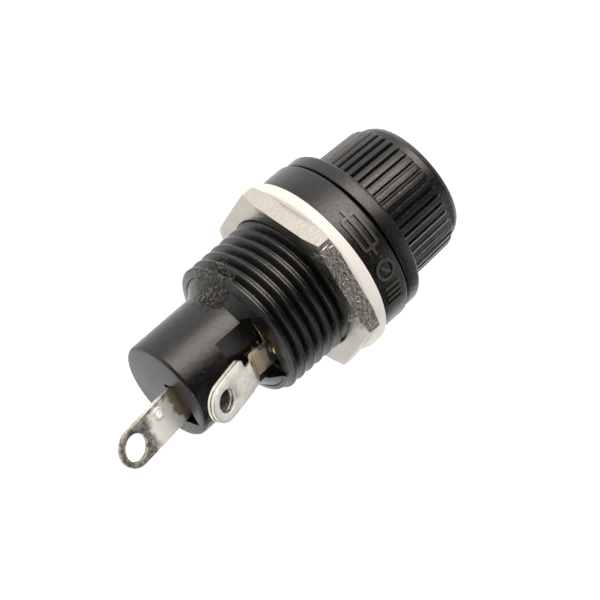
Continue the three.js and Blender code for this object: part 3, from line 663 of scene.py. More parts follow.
def terminal_plating():
    """Bright tin plate on stamped brass: rolling streaks, speckled stains, a dull and mottled end
    round the tail's eye, a painted highlight by the tail's bend, and painted brown reflections at the
    tail's root and on the side lug's folded neck."""
    material, graph, inputs = material_graph("terminal_plating")
    grain = placed(graph, surface_grain(), Size_mm=0.16, Pits=0.5)["Height"]
    marks = placed(graph, handling(), Size_mm=1.1, Scratches=0.9)
    dull = patch(graph, TAIL_EYE, 1.9, 0.7)
    # painted brown reflections: the tail's root and the lug's folded neck are painted brass-brown and
    # made less metallic, so they read bright where they lie in shade
    root = patch(graph, TAIL_ROOT_REFLECTION, 1.5, 0.6)
    fold = patch(graph, LUG_FOLD_REFLECTION, 1.1, 0.3)
    painted_reflection = graph.highest(root, fold)
    # painted highlight: a pale, nearly matte patch by the tail's bend stands in for the bend's bright
    # reflection
    painted_highlight = patch(graph, TAIL_HIGHLIGHT, 1.6, 0.7)
    painted_highlight = graph.times(painted_highlight, graph.maths("SUBTRACT", 1.0, root))
    streaks = graph.noise(graph.place((5, 1, 5)), 1400, 3.0, 0.5)
    mottle = graph.noise(graph.place(), 1 / (0.36 * MM), 6.0, 0.75)
    stains = graph.ramp(graph.noise(graph.place(), 1100, 5.0, 0.65), 0.5, 0.68)
    shade, shine = rgb(colours().terminal, 0.88), rgb(colours().terminal, 1.15)
    clean = graph.blend(graph.ramp(streaks, 0.3, 0.7), shade, shine)
    stained = graph.blend(graph.times(stains, 0.12), clean, STAIN)
    speckled = graph.blend(graph.ramp(mottle, 0.4, 0.6), DARK_SPECKLE, PALE_SPECKLE)
    worn = graph.blend(dull, stained, speckled)
    highlighted = graph.blend(painted_highlight, worn, PAINTED_HIGHLIGHT)
    # painted reflection: brass-brown over the root and fold patches
    graph.put(inputs["Base Color"], graph.blend(painted_reflection, highlighted, BRASS_REFLECTION_PAINT))
    # metallic is lowered under the painted highlight and the painted reflections, so they show as
    # diffuse light
    painted_light_matte = graph.highest(graph.times(painted_highlight, 0.95), graph.times(painted_reflection, 0.75))
    graph.put(inputs["Metallic"], graph.maths("SUBTRACT", 1.0, painted_light_matte))
    satin = graph.ramp(stains, 0, 1, 0.3, 0.36)
    scratched = graph.plus(satin, graph.times(marks["Scratch"], 0.15))
    graph.put(inputs["Roughness"], graph.plus(scratched, graph.times(dull, 0.14)))
    low = graph.times(grain, 0.003)
    high = graph.times(graph.times(dull, mottle), 0.07)
    bumped(graph, inputs, graph.plus(low, high), 1.0)
    return material


def plain_metal(name, colour, rough_low, rough_high, stain, streak=(4, 1, 4)):
    """Small metal parts: a drawn or turned surface with streaks and tarnish."""
    material, graph, inputs = material_graph(name)
    marks = placed(graph, handling(), Size_mm=0.9, Scratches=0.5)
    streaks = graph.noise(graph.place(streak), 2200, 3.0, 0.5)
    tone = graph.blend(graph.ramp(streaks, 0.3, 0.7), rgb(colour, 0.88), rgb(colour, 1.1))
    tarnish = graph.times(marks["Smear"], 0.45)
    graph.put(inputs["Base Color"], graph.blend(tarnish, tone, (*stain, 1)))
    inputs["Metallic"].default_value = 1
    graph.put(inputs["Roughness"], graph.ramp(marks["Smear"], 0, 1, rough_low, rough_high))
    bumped(graph, inputs, streaks, 0.01, 0.4)
    return material


def brass():
    return plain_metal("brass", colours().brass, 0.25, 0.42, (0.30, 0.19, 0.09))


def spring_steel():
    return plain_metal("spring_steel", colours().steel, 0.22, 0.38, (0.26, 0.24, 0.22))


def fuse_cap_plating():
    return plain_metal("fuse_cap_plating", colours().terminal, 0.14, 0.28, (0.42, 0.39, 0.34))


def fuse_wire():
    return plain_metal("fuse_wire", colours().steel, 0.2, 0.32, (0.3, 0.28, 0.26), (1, 6, 1))


def solder():
    return plain_metal("solder", (0.46, 0.46, 0.45), 0.35, 0.55, (0.3, 0.3, 0.29), (1, 1, 1))


def fuse_glass():
    """Clear glass tube with faint drawing streaks."""
    material, graph, inputs = material_graph("fuse_glass")
    streaks = graph.noise(graph.place((6, 0.4, 6)), 700, 2.0, 0.5)
    tint = graph.blend(streaks, (0.93, 0.97, 0.96, 1), (0.98, 1, 1, 1))
    graph.put(inputs["Base Color"], tint)
    inputs["Transmission Weight"].default_value = 1
    inputs["IOR"].default_value = 1.5
    graph.put(inputs["Roughness"], graph.ramp(streaks, 0, 1, 0.01, 0.05))
    bumped(graph, inputs, streaks, 0.004, 0.3)
    return material


FINISHES = {
    "black_moulding": black_moulding,
    "nut_plating": nut_plating,
    "washer_plastic": washer_plastic,
    "terminal_plating": terminal_plating,
    "spring_steel": spring_steel,
    "brass": brass,
    "fuse_glass": fuse_glass,
    "fuse_cap_plating": fuse_cap_plating,
    "fuse_wire": fuse_wire,
    "solder": solder,
}


finishes_made = {}


def finish(slot):
    """The material of one of the record's slots, made once."""
    if slot not in finishes_made:
        finishes_made[slot] = FINISHES[slot]()
    return finishes_made[slot]


# ---- Body ----
def body_core():
    """The body without its thread: flange, neck, sloping shoulder, barrel and the stepped bore."""
    mouth = CAP_NECK_ROOT + SLIDE_GAP
    bore = CARRIER.radius + SLIDE_GAP
    pocket = RING.radius + SLIDE_GAP
    neck_rear = CAP.rear + SLIDE_GAP
    return turned([
        (0, BODY.rear - END_WALL),
        (BARREL_BORE, BODY.rear - END_WALL),
        (BARREL_BORE, RING.rear + SLIDE_GAP),
        (pocket, RING.rear + SLIDE_GAP),
        (pocket, RING.front - SLIDE_GAP),
        (bore, RING.front - SLIDE_GAP),
        (bore, neck_rear + SLIDE_GAP),
        (mouth, neck_rear),
        (mouth, BODY.front + EDGE),
        (mouth + EDGE, BODY.front),
        (BODY.radius, BODY.front, 0.22),
        (BODY.radius, 0, 0.18),
        (THREAD_ROOT, 0, 0.1),
        (THREAD_ROOT, NECK_END, 0.12),
        (BARREL_RADIUS, SHOULDER_END, 0.12),
        (BARREL_RADIUS, BODY.rear, 0.3),
        (0, BODY.rear),
    ])


def outside_thread():
    """The outside thread, cut away at the rear by a cone that runs on into the shoulder."""
    pitch = sizes().thread_pitch / MM
    foot = THREAD_FOOT_WIDTH * pitch
    top = THREAD_CREST_WIDTH * pitch
    section = ridge_section(THREAD_ROOT, THREAD_CREST, foot, top, RIDGE_SINK, 0.08)
    turns = math.ceil(NECK_END / pitch) + 1
    thread = ridge(section, pitch, THREAD_FIRST, turns)
    envelope = turned([
        (0, SEAT),
        (THREAD_CREST + RIDGE_SINK, SEAT),
        (THREAD_CREST + RIDGE_SINK, NECK_END - 0.22),
        (THREAD_CREST - 0.08, NECK_END + 0.02),
        (THREAD_ROOT - 0.2, NECK_END + 0.2),
        (0, NECK_END + 0.2),
    ])
    return combined(thread, envelope, "INTERSECT")


def cap_groove():
    """The groove in the mouth that takes the cap's thread, open at the front."""
    foot = CAP_THREAD_FOOT + 2 * THREAD_GAP
    top = CAP_THREAD_TOP + 2 * THREAD_GAP
    section = ridge_section(CAP_NECK_ROOT, CAP_THREAD_CREST + THREAD_GAP, foot, top, 0.05, 0.05)
    start = CAP_FLANGE_REAR + CAP_THREAD_FOOT - LEAD_TURNS * CAP_THREAD_PITCH
    return ridge(section, CAP_THREAD_PITCH, start, CAP_THREAD_TURNS + LEAD_TURNS + 0.1)


def window_cutters():
    """The side window: a shallow flat, a ledge, and the deep well that the terminal comes out of."""
    top = THREAD_CREST + 1
    front = NECK_END - SEAT
    flat = block((-FLAT_HALF, front, FLAT_HEIGHT), (FLAT_HALF, FLAT_REAR, top), 0.05)
    yield turn_about(flat, FLAT_TURN)
    low = (WINDOW_LEFT, front, WELL_FLOOR)
    yield block(low, (WINDOW_RIGHT, WINDOW_REAR, top), 0.06)
    low = (WINDOW_LEFT, RING.front - SLIDE_GAP, WELL_FLOOR)
    yield block(low, (WINDOW_RIGHT, WINDOW_REAR, LEDGE_HEIGHT), 0.03)


def end_opening():
    """The slot in the end wall that the tail terminal comes out of."""
    low = (TAIL_OFFSET - OPENING_HALF, BODY.rear - 2 * END_WALL, OPENING_LOW)
    high = (TAIL_OFFSET + OPENING_HALF, BODY.rear + 1, OPENING_HIGH)
    return turn_about(block(low, high, 0.08), TAIL_TURN)


def holder_body():
    """The moulded body with its thread, groove, window and opening."""
    bm = combined(body_core(), outside_thread(), "UNION")
    bm = combined(bm, cap_groove(), "DIFFERENCE")
    for cutter in window_cutters():
        bm = combined(bm, cutter, "DIFFERENCE")
    bm = combined(bm, end_opening(), "DIFFERENCE")
    finished("body_moulding", bm, "root", "black_moulding", ["holder_body"])


# ---- Raised marks on the flange ----
def wrapped(bm, radius, middle_y, around):
    """Lays a flat shape, drawn in x along the rim and y along the axis, on the flange's rim."""
    for vert in bm.verts:
        angle = around + vert.co.x / radius
        reach = radius + vert.co.z
        y = middle_y + vert.co.y
        vert.co = (reach * math.sin(angle), y, reach * math.cos(angle))
    return bm


def bar(start, end, width, height):
    """One raised stroke between two points of the flat drawing."""
    start, end = Vector(start), Vector(end)
    along = end - start
    bm = block((0, -width / 2, -0.1), (along.length, width / 2, height))
    slices = max(1, round(along.length / 0.2))
    for i in range(1, slices):
        bmesh.ops.bisect_plane(
            bm,
            geom=bm.verts[:] + bm.edges[:] + bm.faces[:],
            plane_co=(along.length * i / slices, 0, 0),
            plane_no=(1, 0, 0),
        )
    turn = Matrix.Rotation(math.atan2(along.y, along.x), 3, "Z")
    bmesh.ops.rotate(bm, cent=(0, 0, 0), matrix=turn, verts=bm.verts)
    bmesh.ops.translate(bm, vec=(start.x, start.y, 0), verts=bm.verts)
    return bm


def hoop(centre, radius, width, height):
    """A raised ring of the flat drawing."""
    inner, outer = radius - width / 2, radius + width / 2
    bm = ringed([(inner, -0.1), (outer, -0.1), (outer, height), (inner, height)], RING_STEPS)
    bmesh.ops.translate(bm, vec=(*centre, 0), verts=bm.verts)
    return cleaned(bm)


def rim_marks():
    """Generic marks moulded on the flange: a fuse symbol, a ring with a bar, and four bars."""
    height = sizes().mark_height / MM
    stroke = 0.25
    long, high = 1.5, 0.68  # half the fuse symbol's box
    wire = 0.75  # how far its wire runs past the box
    ring_x, slant = -3.75, (0.4, 0.35)
    first_bar, bar_gap, bar_half = -5.35, 0.55, 0.75
    strokes = [
        ((-long, high), (long, high)),
        ((-long, -high), (long, -high)),
        ((-long, -high), (-long, high)),
        ((long, -high), (long, high)),
        ((-long - wire, 0), (long + wire, 0)),
    ]
    shapes = [bar(start, end, stroke, height) for start, end in strokes]
    shapes.append(hoop((ring_x, 0), 0.8, stroke, height))
    start, end = (ring_x - slant[0], -slant[1]), (ring_x + slant[0], slant[1])
    shapes.append(bar(start, end, stroke, height))
    for i in range(4):
        x = first_bar - bar_gap * i
        shapes.append(bar((x, -bar_half), (x, bar_half), stroke, height))
    bm = bmesh.new()
    for shape in shapes:
        merged(bm, shape)
    wrapped(bm, BODY.radius, BODY.front / 2, math.radians(38))
    bmesh.ops.recalc_face_normals(bm, faces=bm.faces)
    finished("flange_marks", bm, "root", "black_moulding")


# ---- Nut and washer ----
def panel_nut():
    """The hexagon nut: chamfered, bored, countersunk and threaded."""
    thickness = NUT.rear - NUT.front
    corner = 8.6
    chamfer = 0.35
    bm = bmesh.new()
    middle = Matrix.Translation((0, NUT.front + thickness / 2, 0))
    spot = middle @ Matrix.Rotation(math.pi / 2, 4, "X")
    bmesh.ops.create_cone(
        bm, cap_ends=True, segments=6, radius1=corner, radius2=corner, depth=thickness, matrix=spot
    )
    first = max(bm.verts, key=lambda vert: vert.co.z)
    stands = math.atan2(first.co.x, first.co.z)
    turn_about(bm, math.degrees(sizes().nut_clocking - stands))
    envelope = turned([
        (0, NUT.front),
        (corner - 2 * chamfer, NUT.front),
        (corner + chamfer, NUT.front + chamfer),
        (corner + chamfer, NUT.rear - chamfer),
        (corner - 2 * chamfer, NUT.rear),
        (0, NUT.rear),
    ])
    bm = combined(bm, envelope, "INTERSECT")
    bore = THREAD_ROOT + THREAD_GAP
    countersink = 0.55
    drill = turned([
        (0, NUT.front - 1),
        (bore + countersink + 1, NUT.front - 1),
        (bore, NUT.front + countersink),
        (bore, NUT.rear - countersink),
        (bore + countersink + 1, NUT.rear + 1),
        (0, NUT.rear + 1),
    ])
    bm = combined(bm, drill, "DIFFERENCE")
    pitch = sizes().thread_pitch / MM
    foot = THREAD_FOOT_WIDTH * pitch + 2 * THREAD_GAP
    top = THREAD_CREST_WIDTH * pitch + 2 * THREAD_GAP
    foot = min(foot, 0.97 * pitch)  # leaves the groove's turns apart
    section = ridge_section(THREAD_ROOT, THREAD_CREST + THREAD_GAP, foot, top, 0.05, 0.03)
    turns = math.ceil(NUT.rear / pitch) + LEAD_TURNS + 1
    groove = ridge(section, pitch, THREAD_FIRST - LEAD_TURNS * pitch, turns)
    bm = combined(bm, groove, "DIFFERENCE")
    piece = finished("hexagon_nut", bm, "nut", "nut_plating", ["panel_nut"], smooth=30)
    soften(piece, 0.16)


def soften(piece, width, segments=2, degrees=30):
    """Rounds a finished piece's sharp edges."""
    modifier = piece.modifiers.new("soft_edges", "BEVEL")
    modifier.width = width * MM
    modifier.segments = segments
    modifier.limit_method = "ANGLE"
    modifier.angle_limit = math.radians(degrees)
    modifier.use_clamp_overlap = True
    modifier.harden_normals = False


def panel_washer():
    """The flat plastic washer, with its rims rounded."""
    bore = THREAD_CREST + 0.25
    bm = turned([
        (bore, WASHER.front, 0.08),
        (WASHER.radius, WASHER.front, 0.15),
        (WASHER.radius, WASHER.rear, 0.15),
        (bore, WASHER.rear, 0.08),
    ])
    finished("plastic_washer", bm, "washer", "washer_plastic", ["panel_washer"])


# ---- Cap ----
def ribbed_barrel():
    """The ribbed grip: rings of points stacked towards the front, drawn in and chamfered."""
    count = sizes().rib_count
    depth = sizes().rib_depth / MM
    bottom = RIB_RADIUS - depth
    shares = (
        (0.02, 0), (0.1, 0), (0.19, 0.72), (0.27, 1), (0.44, 1.03),
        (0.64, 1.03), (0.81, 1), (0.89, 0.72), (0.98, 0),
    )  # along the rib's slot, and up its depth
    bm = bmesh.new()
    start = bmesh.ops.create_circle(bm, segments=count * len(shares), radius=1)["verts"]
    length = CAP_FLANGE_FRONT - RIB_END
    stations = (
        (CAP_FLANGE_FRONT + 0.2, 1, 1),
        (CAP_FLANGE_FRONT - length * 0.5, 1 - (1 - RIB_TAPER) / 2, 1),
        (RIB_END + 0.32, RIB_TAPER + 0.002, 1),
        (RIB_END + 0.1, RIB_TAPER, 0.72),
        (RIB_END, RIB_TAPER, 0.0),
        (RIB_END, 0.6, 0.0),
    )
    ring = list(start)
    shape_ring(ring, stations[0], shares, count, bottom, depth)
    edges = bm.edges[:]
    first_edges = list(edges)
    for station in stations[1:]:
        made = bmesh.ops.extrude_edge_only(bm, edges=edges)["geom"]
        lookup = {v for v in made if isinstance(v, bmesh.types.BMVert)}
        edges = [e for e in made if isinstance(e, bmesh.types.BMEdge)]
        order = []
        for old in ring:
            across = (e.other_vert(old) for e in old.link_edges)
            order.append(next(vert for vert in across if vert in lookup))
        ring = order
        shape_ring(ring, station, shares, count, bottom, depth)
    bmesh.ops.contextual_create(bm, geom=edges)
    bmesh.ops.contextual_create(bm, geom=first_edges)
    return cleaned(bm)


def shape_ring(ring, station, shares, count, bottom, depth):
    """Places a ring's points on the rib outline at one station along the grip."""
    y, taper, height = station
    slot = 2 * math.pi / count
    phase = math.radians(42)
    for i, vert in enumerate(ring):
        share, lift = shares[i % len(shares)]
        angle = phase + slot * (i // len(shares) + share)
        radius = (bottom + depth * lift * height) * taper
        vert.co = (radius * math.sin(angle), y, radius * math.cos(angle))


def cap_shell():
    """The screw cap: its dished face, ribbed grip, flange, threaded neck and bore."""
    nose = (RIB_RADIUS - sizes().rib_depth / MM) * RIB_TAPER
    core = RIB_RADIUS - sizes().rib_depth / MM - 0.3
    front = CAP.front
    bm = turned([
        (0, front + 0.25),
        (RIM_RADIUS - 1.2, front + 0.25, 0.2),
        (RIM_RADIUS - 0.9, front, 0.2),
        (RIM_RADIUS, front, 0.5),
        (nose - 0.04, front + 0.62, 0.5),
        (nose - 0.01, RIB_END + 0.02),
        (core, RIB_END + EDGE),
        (core, CAP_FLANGE_FRONT, 0.12),
        (CAP.radius, CAP_FLANGE_FRONT, 0.35),
        (CAP.radius, CAP_FLANGE_REAR, 0.12),
        (CAP_NECK_ROOT, CAP_FLANGE_REAR, 0.08),
        (CAP_NECK_ROOT, CAP.rear, 0.12),
        (CAP_BORE, CAP.rear, 0.08),
        (CAP_BORE, CAP_BORE_FRONT),
        (0, CAP_BORE_FRONT),
    ])
    bm = combined(bm, ribbed_barrel(), "UNION")
    section = ridge_section(
        CAP_NECK_ROOT, CAP_THREAD_CREST, CAP_THREAD_FOOT, CAP_THREAD_TOP, RIDGE_SINK, 0.08
    )
    thread = ridge(section, CAP_THREAD_PITCH, CAP_FLANGE_REAR + CAP_THREAD_FOOT, CAP_THREAD_TURNS)
    bm = combined(bm, thread, "UNION")
    past = CAP.rear + 1
    drill = turned([(0, CAP_BORE_FRONT), (CAP_BORE, CAP_BORE_FRONT), (CAP_BORE, past), (0, past)])
    bm = combined(bm, drill, "DIFFERENCE")
    finished("ribbed_cap", bm, "cap", "black_moulding", ["cap_shell"])


# ---- Stamped terminals ----
def arc(centre, radius, start, end, steps):
    """Points along an arc, in degrees from +x towards +y."""
    points = []
    for i in range(steps + 1):
        angle = math.radians(start + (end - start) * i / steps)
        points.append((centre[0] + radius * math.cos(angle), centre[1] + radius * math.sin(angle)))
    return points


def stamping(outline, holes, thickness, slices=(), edge=0.045):
    """Sheet metal cut to an outline, with round holes, sliced across where it will bend."""
    bm = bmesh.new()
    rims = [outline] + [arc((x, y), radius, 0, 360, 40)[:-1] for x, y, radius in holes]
    for rim in rims:
        verts = [bm.verts.new((x, y, 0)) for x, y in rim]
        for pair in zip(verts, verts[1:] + verts[:1]):
            bm.edges.new(pair)
    bmesh.ops.triangle_fill(bm, use_beauty=True, edges=bm.edges[:])
    lifted = bmesh.ops.extrude_face_region(bm, geom=bm.faces[:])["geom"]
    verts = [v for v in lifted if isinstance(v, bmesh.types.BMVert)]
    bmesh.ops.translate(bm, vec=(0, 0, thickness), verts=verts)
    bmesh.ops.recalc_face_normals(bm, faces=bm.faces)
    round_edges(bm, sharp_edges(bm), edge)
    for y in slices:
        bmesh.ops.bisect_plane(
            bm, geom=bm.verts[:] + bm.edges[:] + bm.faces[:], plane_co=(0, y, 0), plane_no=(0, 1, 0)
        )
    return bm


def bent(bm, bend_y, angle, radius):
    """Bends the part of a flat strip before bend_y, round an arc: down, or up for a negative angle."""
    way = math.copysign(1, angle)
    angle = abs(angle)
    for vert in bm.verts:
        ahead = bend_y - vert.co.y
        if ahead <= 0:
            continue
        turn = min(ahead / radius, angle)
        rest = max(0.0, ahead - radius * angle)
        reach = radius + way * vert.co.z
        vert.co.y = bend_y - reach * math.sin(turn) - rest * math.cos(turn)
        vert.co.z = way * (reach * math.cos(turn) - radius - rest * math.sin(turn))
    return bm


def laid_over(bm, thickness, slope, offset, eye_y, height):
    """Puts a strip drawn flat, with its eye at the origin, into its sloping place."""
    place = (
        Matrix.Translation((offset, eye_y, height))
        @ Matrix.Rotation(slope, 4, "X")
        @ Matrix.Translation((0, 0, -thickness))
    )
    bmesh.ops.transform(bm, matrix=place, verts=bm.verts)
    return bm


def side_terminal():
    """The doubled strip with its eye, its narrow neck and the leaf riveted inside."""
    leaf, gap = 0.24, 0.07
    half, eye, length = 1.76, 0.98, 2.95
    left, right = -1.66, 0.66
    slope = math.radians(13.69)
    eye_y, height = 14.95, 5.52
    steep = math.radians(50)
    fold = 3.5 / math.cos(slope)
    foot = fold + 0.8
    tip = foot + 3.7
    inner_radius = 0.5
    corner = 0.3
    round_end = arc((0, 0), half, 0, 180, 24)
    corners = [(-half, -length, corner), (half, -length, corner), (half, 0), (-half, 0)]
    lower_outline = [p for p in filleted(corners, closed=True) if p[1] < 0] + round_end
    near_side = filleted([
        (left, -tip, 0.2), (right, -tip, 0.2), (right, -length - 0.25, 0.25),
        (right + 0.35, -length, 0.2), (half, -length, corner), (half, 0),
    ], closed=True)[:-1]
    far_side = filleted([
        (-half, 0), (-half, -length, corner), (left, -length - 0.1, 0.05), (left, -tip),
    ])[1:-1]
    upper_outline = near_side + round_end + far_side
    slices = [-fold - 0.08 * i for i in range(5)] + [-foot - 0.11 * i for i in range(5)]
    upper = stamping(upper_outline, [(0, 0, eye)], leaf, slices)
    bent(upper, -foot, -steep, inner_radius)
    bent(upper, -fold, steep - slope, inner_radius)
    lower = stamping(lower_outline, [(0.02, 0.03, eye)], leaf)
    bmesh.ops.translate(lower, vec=(0, 0.05, -leaf - gap), verts=lower.verts)
    both = merged(upper, lower)
    laid_over(both, leaf, slope, 0, eye_y, height)
    finished("side_lug", both, "root", "terminal_plating", ["side_terminal"])


def side_rivet():
    """The rivet that holds the side terminal's leaf on the contact ring."""
    top, low = SIDE_RIVET_HIGH, SIDE_RIVET_LOW
    head = (top.x - low.x) / 2
    shank = 0.4
    middle = (low + top) / 2
    bm = turned([
        (0, low.z), (shank, low.z), (shank, top.z - 0.24), (head, top.z - 0.24, 0.05),
        (head, top.z - 0.1, 0.15), (head * 0.6, top.z, 0.2), (0, top.z),
    ], SMALL_STEPS)
    place = Matrix.Translation((middle.x, middle.y, 0)) @ Matrix.Rotation(math.pi / 2, 4, "X")
    bmesh.ops.transform(bm, matrix=place, verts=bm.verts)
    finished("brass_rivet", bm, "root", "brass", ["side_rivet"])


def tail_terminal():
    """The strip that leaves the end wall: eye, punched hole with a raised rim, bent root and foot."""
    thickness = 0.4
    half, eye = 1.64, 1.15
    slope, lean = math.radians(7), math.radians(2)
    eye_y, root_z = 22.02, 1.15
    reach = (eye_y - BODY.rear) / math.cos(slope)
    inside = BODY.rear - TAIL_LOW.y - SEAT
    end = -reach - inside
    outline = [(-half, end), (half, end), (half, 0)] + arc((0, 0), half, 0, 180, 28)[1:]
    dimple = (0.78, -3.2)
    slices = [-reach + 0.3 - 0.06 * i for i in range(8)]
    strip = stamping(outline, [(0, 0, eye), (*dimple, 0.3)], thickness, slices)
    rim = ringed(filleted([
        (0.3, thickness - 0.1), (0.56, thickness - 0.1),
        (0.5, thickness + 0.1, 0.06), (0.3, thickness + 0.13, 0.06),
    ], closed=True), DIMPLE_STEPS)
    bmesh.ops.translate(rim, vec=(*dimple, 0), verts=rim.verts)
    strip = combined(strip, cleaned(rim), "UNION")
    bent(strip, -reach + 0.25, slope, 2.0)
    turn = Matrix.Rotation(lean, 3, "Z")
    bmesh.ops.rotate(strip, cent=(0, 0, 0), matrix=turn, verts=strip.verts)
    height = root_z + math.tan(slope) * (eye_y - BODY.rear)
    laid_over(strip, thickness, slope, TAIL_OFFSET - math.sin(lean) * reach, eye_y, height)
    turn_about(strip, TAIL_TURN)
    front, rear, foot_radius = TAIL_LOW.y, TAIL_LOW.y + thickness, 2.75
    foot = turned([
        (0, front), (foot_radius, front, 0.05), (foot_radius, rear, 0.05), (0, rear),
    ], SMALL_STEPS)
    trim = turn_about(block((-9, front - 1, root_z), (9, front + 1, 9)), TAIL_TURN)
    foot = combined(foot, trim, "DIFFERENCE")
    strip = combined(strip, foot, "UNION")
    finished("tail_lug", strip, "root", "terminal_plating", ["tail_terminal"])


# ---- Inner pieces ----
def open_cup(outer, wall, floor_y, mouth_y, hole, steps=SMALL_STEPS):
    """A cup about Y with a floor at floor_y and its mouth at mouth_y."""
    inward = 1 if mouth_y > floor_y else -1
    floor_inside = floor_y + inward * wall
    round_over = 0.4 * wall
    return turned([
        (hole, floor_y),
        (outer, floor_y, 2 * round_over),
        (outer, mouth_y, round_over),
        (outer - wall, mouth_y, round_over),
        (outer - wall, floor_inside, round_over),
        (hole, floor_inside),
    ], steps)


def finger_slots(bm, radius, width, front, rear):
    """Cuts two crossing slots, which leave springy fingers."""
    for degrees in (0, 90):
        slot = block((-radius, front, -width / 2), (radius, rear, width / 2), 0.06)
        bm = combined(bm, turn_about(slot, degrees), "DIFFERENCE")
    return bm


def carrier_and_clip():
    """The tube that the cap carries, the springy clip in it and the rivet that joins them."""
    tube = open_cup(CARRIER.radius, 0.3, CARRIER.front, CARRIER.rear, 0.65)
    tube = finger_slots(tube, CARRIER.radius + 1, 0.8, CARRIER.rear - 4, CARRIER.rear + 1)
    finished("carrier_tube", tube, "cap", "terminal_plating", ["carrier_sleeve"])
    clip = open_cup(CLIP.radius, 0.25, CLIP.front, CLIP.rear, 0.65)
    clip = finger_slots(clip, CLIP.radius + 1, 1, CLIP.front + 0.5, CLIP.rear + 1)
    finished("spring_clip", clip, "cap", "spring_steel", ["fuse_clip"])
    shank, head, top = 0.6, RIVET.radius, 0.25
    rivet = turned([
        (0, RIVET.front), (head * 0.6, RIVET.front, 0.2), (head, RIVET.front + 0.15, 0.1),
        (head, RIVET.front + top, 0.03), (shank, RIVET.front + top), (shank, RIVET.rear - top),
        (head, RIVET.rear - top, 0.03), (head, RIVET.rear - 0.1, 0.1), (head * 0.6, RIVET.rear, 0.2),
        (0, RIVET.rear),
    ], SMALL_STEPS)
    finished("clip_fastener", rivet, "cap", "brass", ["clip_rivet"])


def fuse_cap(name, node, span, outer_y, mouth_y):
    """A drawn end cap of the fuse, closed at outer_y."""
    wall = 0.15
    inward = 1 if mouth_y > outer_y else -1
    inner = outer_y + inward * wall
    bm = turned([
        (0, outer_y),
        (span.radius, outer_y, 0.3),
        (span.radius, mouth_y, 0.05),
        (span.radius - wall, mouth_y, 0.05),
        (span.radius - wall, inner, 0.15),
        (0, inner),
    ], SMALL_STEPS)
    finished(name, bm, "fuse", "fuse_cap_plating", [node])


def fuse():
    """The cartridge fuse: end caps, glass, wire and solder."""
    fuse_cap("fuse_end_front", "fuse_cap_front", FRONT_CAP, FRONT_CAP.front, FRONT_CAP.rear)
    fuse_cap("fuse_end_rear", "fuse_cap_rear", REAR_CAP, REAR_CAP.rear, REAR_CAP.front)
    wall = 0.45
    glass = turned([
        (GLASS.radius - wall, GLASS.front, 0.1),
        (GLASS.radius, GLASS.front, 0.2),
        (GLASS.radius, GLASS.rear, 0.2),
        (GLASS.radius - wall, GLASS.rear, 0.1),
    ], SMALL_STEPS)
    finished("glass_tube", glass, "fuse", "fuse_glass", ["fuse_glass"])
    wire = turned([
        (0, WIRE.front), (WIRE.radius, WIRE.front, 0.02),
        (WIRE.radius, WIRE.rear, 0.02), (0, WIRE.rear),
    ], WIRE_STEPS)
    finished("fuse_element", wire, "fuse", "fuse_wire", ["fuse_wire"])
    for name, node, span in (
        ("solder_front", "fuse_solder_front", FRONT_SOLDER),
        ("solder_rear", "fuse_solder_rear", REAR_SOLDER),
    ):
        bm = turned([
            (0.2, span.front, 0.05),
            (span.radius, span.front, 0.15),
            (span.radius, span.rear, 0.15),
            (0.2, span.rear, 0.05),
        ], SMALL_STEPS)
        finished(name, bm, "fuse", "solder", [node])


def inner_contacts():
    """The ring that the carrier touches and the cup that presses on the fuse."""
    inner = CARRIER.radius + 0.06
    ring = turned([
        (inner, RING.front, 0.1), (RING.radius, RING.front, 0.05),
        (RING.radius, RING.rear, 0.05), (inner, RING.rear, 0.1),
    ])
    finished("contact_ring", ring, "root", "brass", ["side_contact_ring"])
    cup = turned([
        (0, CUP.front), (CUP.radius, CUP.front, 0.25), (CUP.radius, CUP.rear, 0.08),
        (CUP.radius - 0.25, CUP.rear, 0.08), (CUP.radius - 0.25, CUP.front + 0.25, 0.1),
        (0, CUP.front + 0.25),
    ], SMALL_STEPS)
    finished("pressure_cup", cup, "tail_contact", "brass", ["contact_cup"])


# ---- Stage ----
# Name, azimuth, elevation, distance, width, height, watts and colour of each light
SOFTBOXES = (
    ("side_softbox", 68, 21, 0.5, 0.55, 0.36, 4.0, (1, 0.93, 0.86)),
    ("back_softbox", -150, 30, 0.6, 0.5, 0.4, 1.5, (1, 1, 1)),
    ("lug_card", -44, 26, 0.5, 0.3, 0.3, 0.24, (1, 1, 1)),
    ("tail_card", -31.5, 49.4, 0.5, 0.12, 0.12, 0.13, (1, 1, 1)),
)
VIEW_AZIMUTH = math.radians(120.97)
VIEW_ELEVATION = math.radians(43.60)
VIEW_ROLL = math.radians(116.52)
VIEW_DISTANCE = 398.9 * MM
VIEW_TARGET = Vector((-1.8191, 2.7165, 0.1700)) * MM
VIEW_LENS = 300


def looking(azimuth, elevation, roll=0.0):
    """A camera or light turned to look at the middle from that azimuth and elevation."""
    return (
        Matrix.Rotation(azimuth, 4, "Z")
        @ Matrix.Rotation(math.pi / 2 - elevation, 4, "X")
        @ Matrix.Rotation(roll, 4, "Z")
    )


def add_camera():
    """The camera, a long way off with a long lens."""
    data = bpy.data.cameras.new("view")
    data.lens = VIEW_LENS
    data.sensor_width = 36
    data.clip_start = 0.01
    data.clip_end = 10
    camera = bpy.data.objects.new("view", data)
    bpy.context.scene.collection.objects.link(camera)
    turn = looking(VIEW_AZIMUTH, VIEW_ELEVATION, VIEW_ROLL)
    back = turn @ Vector((0, 0, VIEW_DISTANCE))
    camera.matrix_world = Matrix.Translation(VIEW_TARGET + back) @ turn
    bpy.context.scene.camera = camera


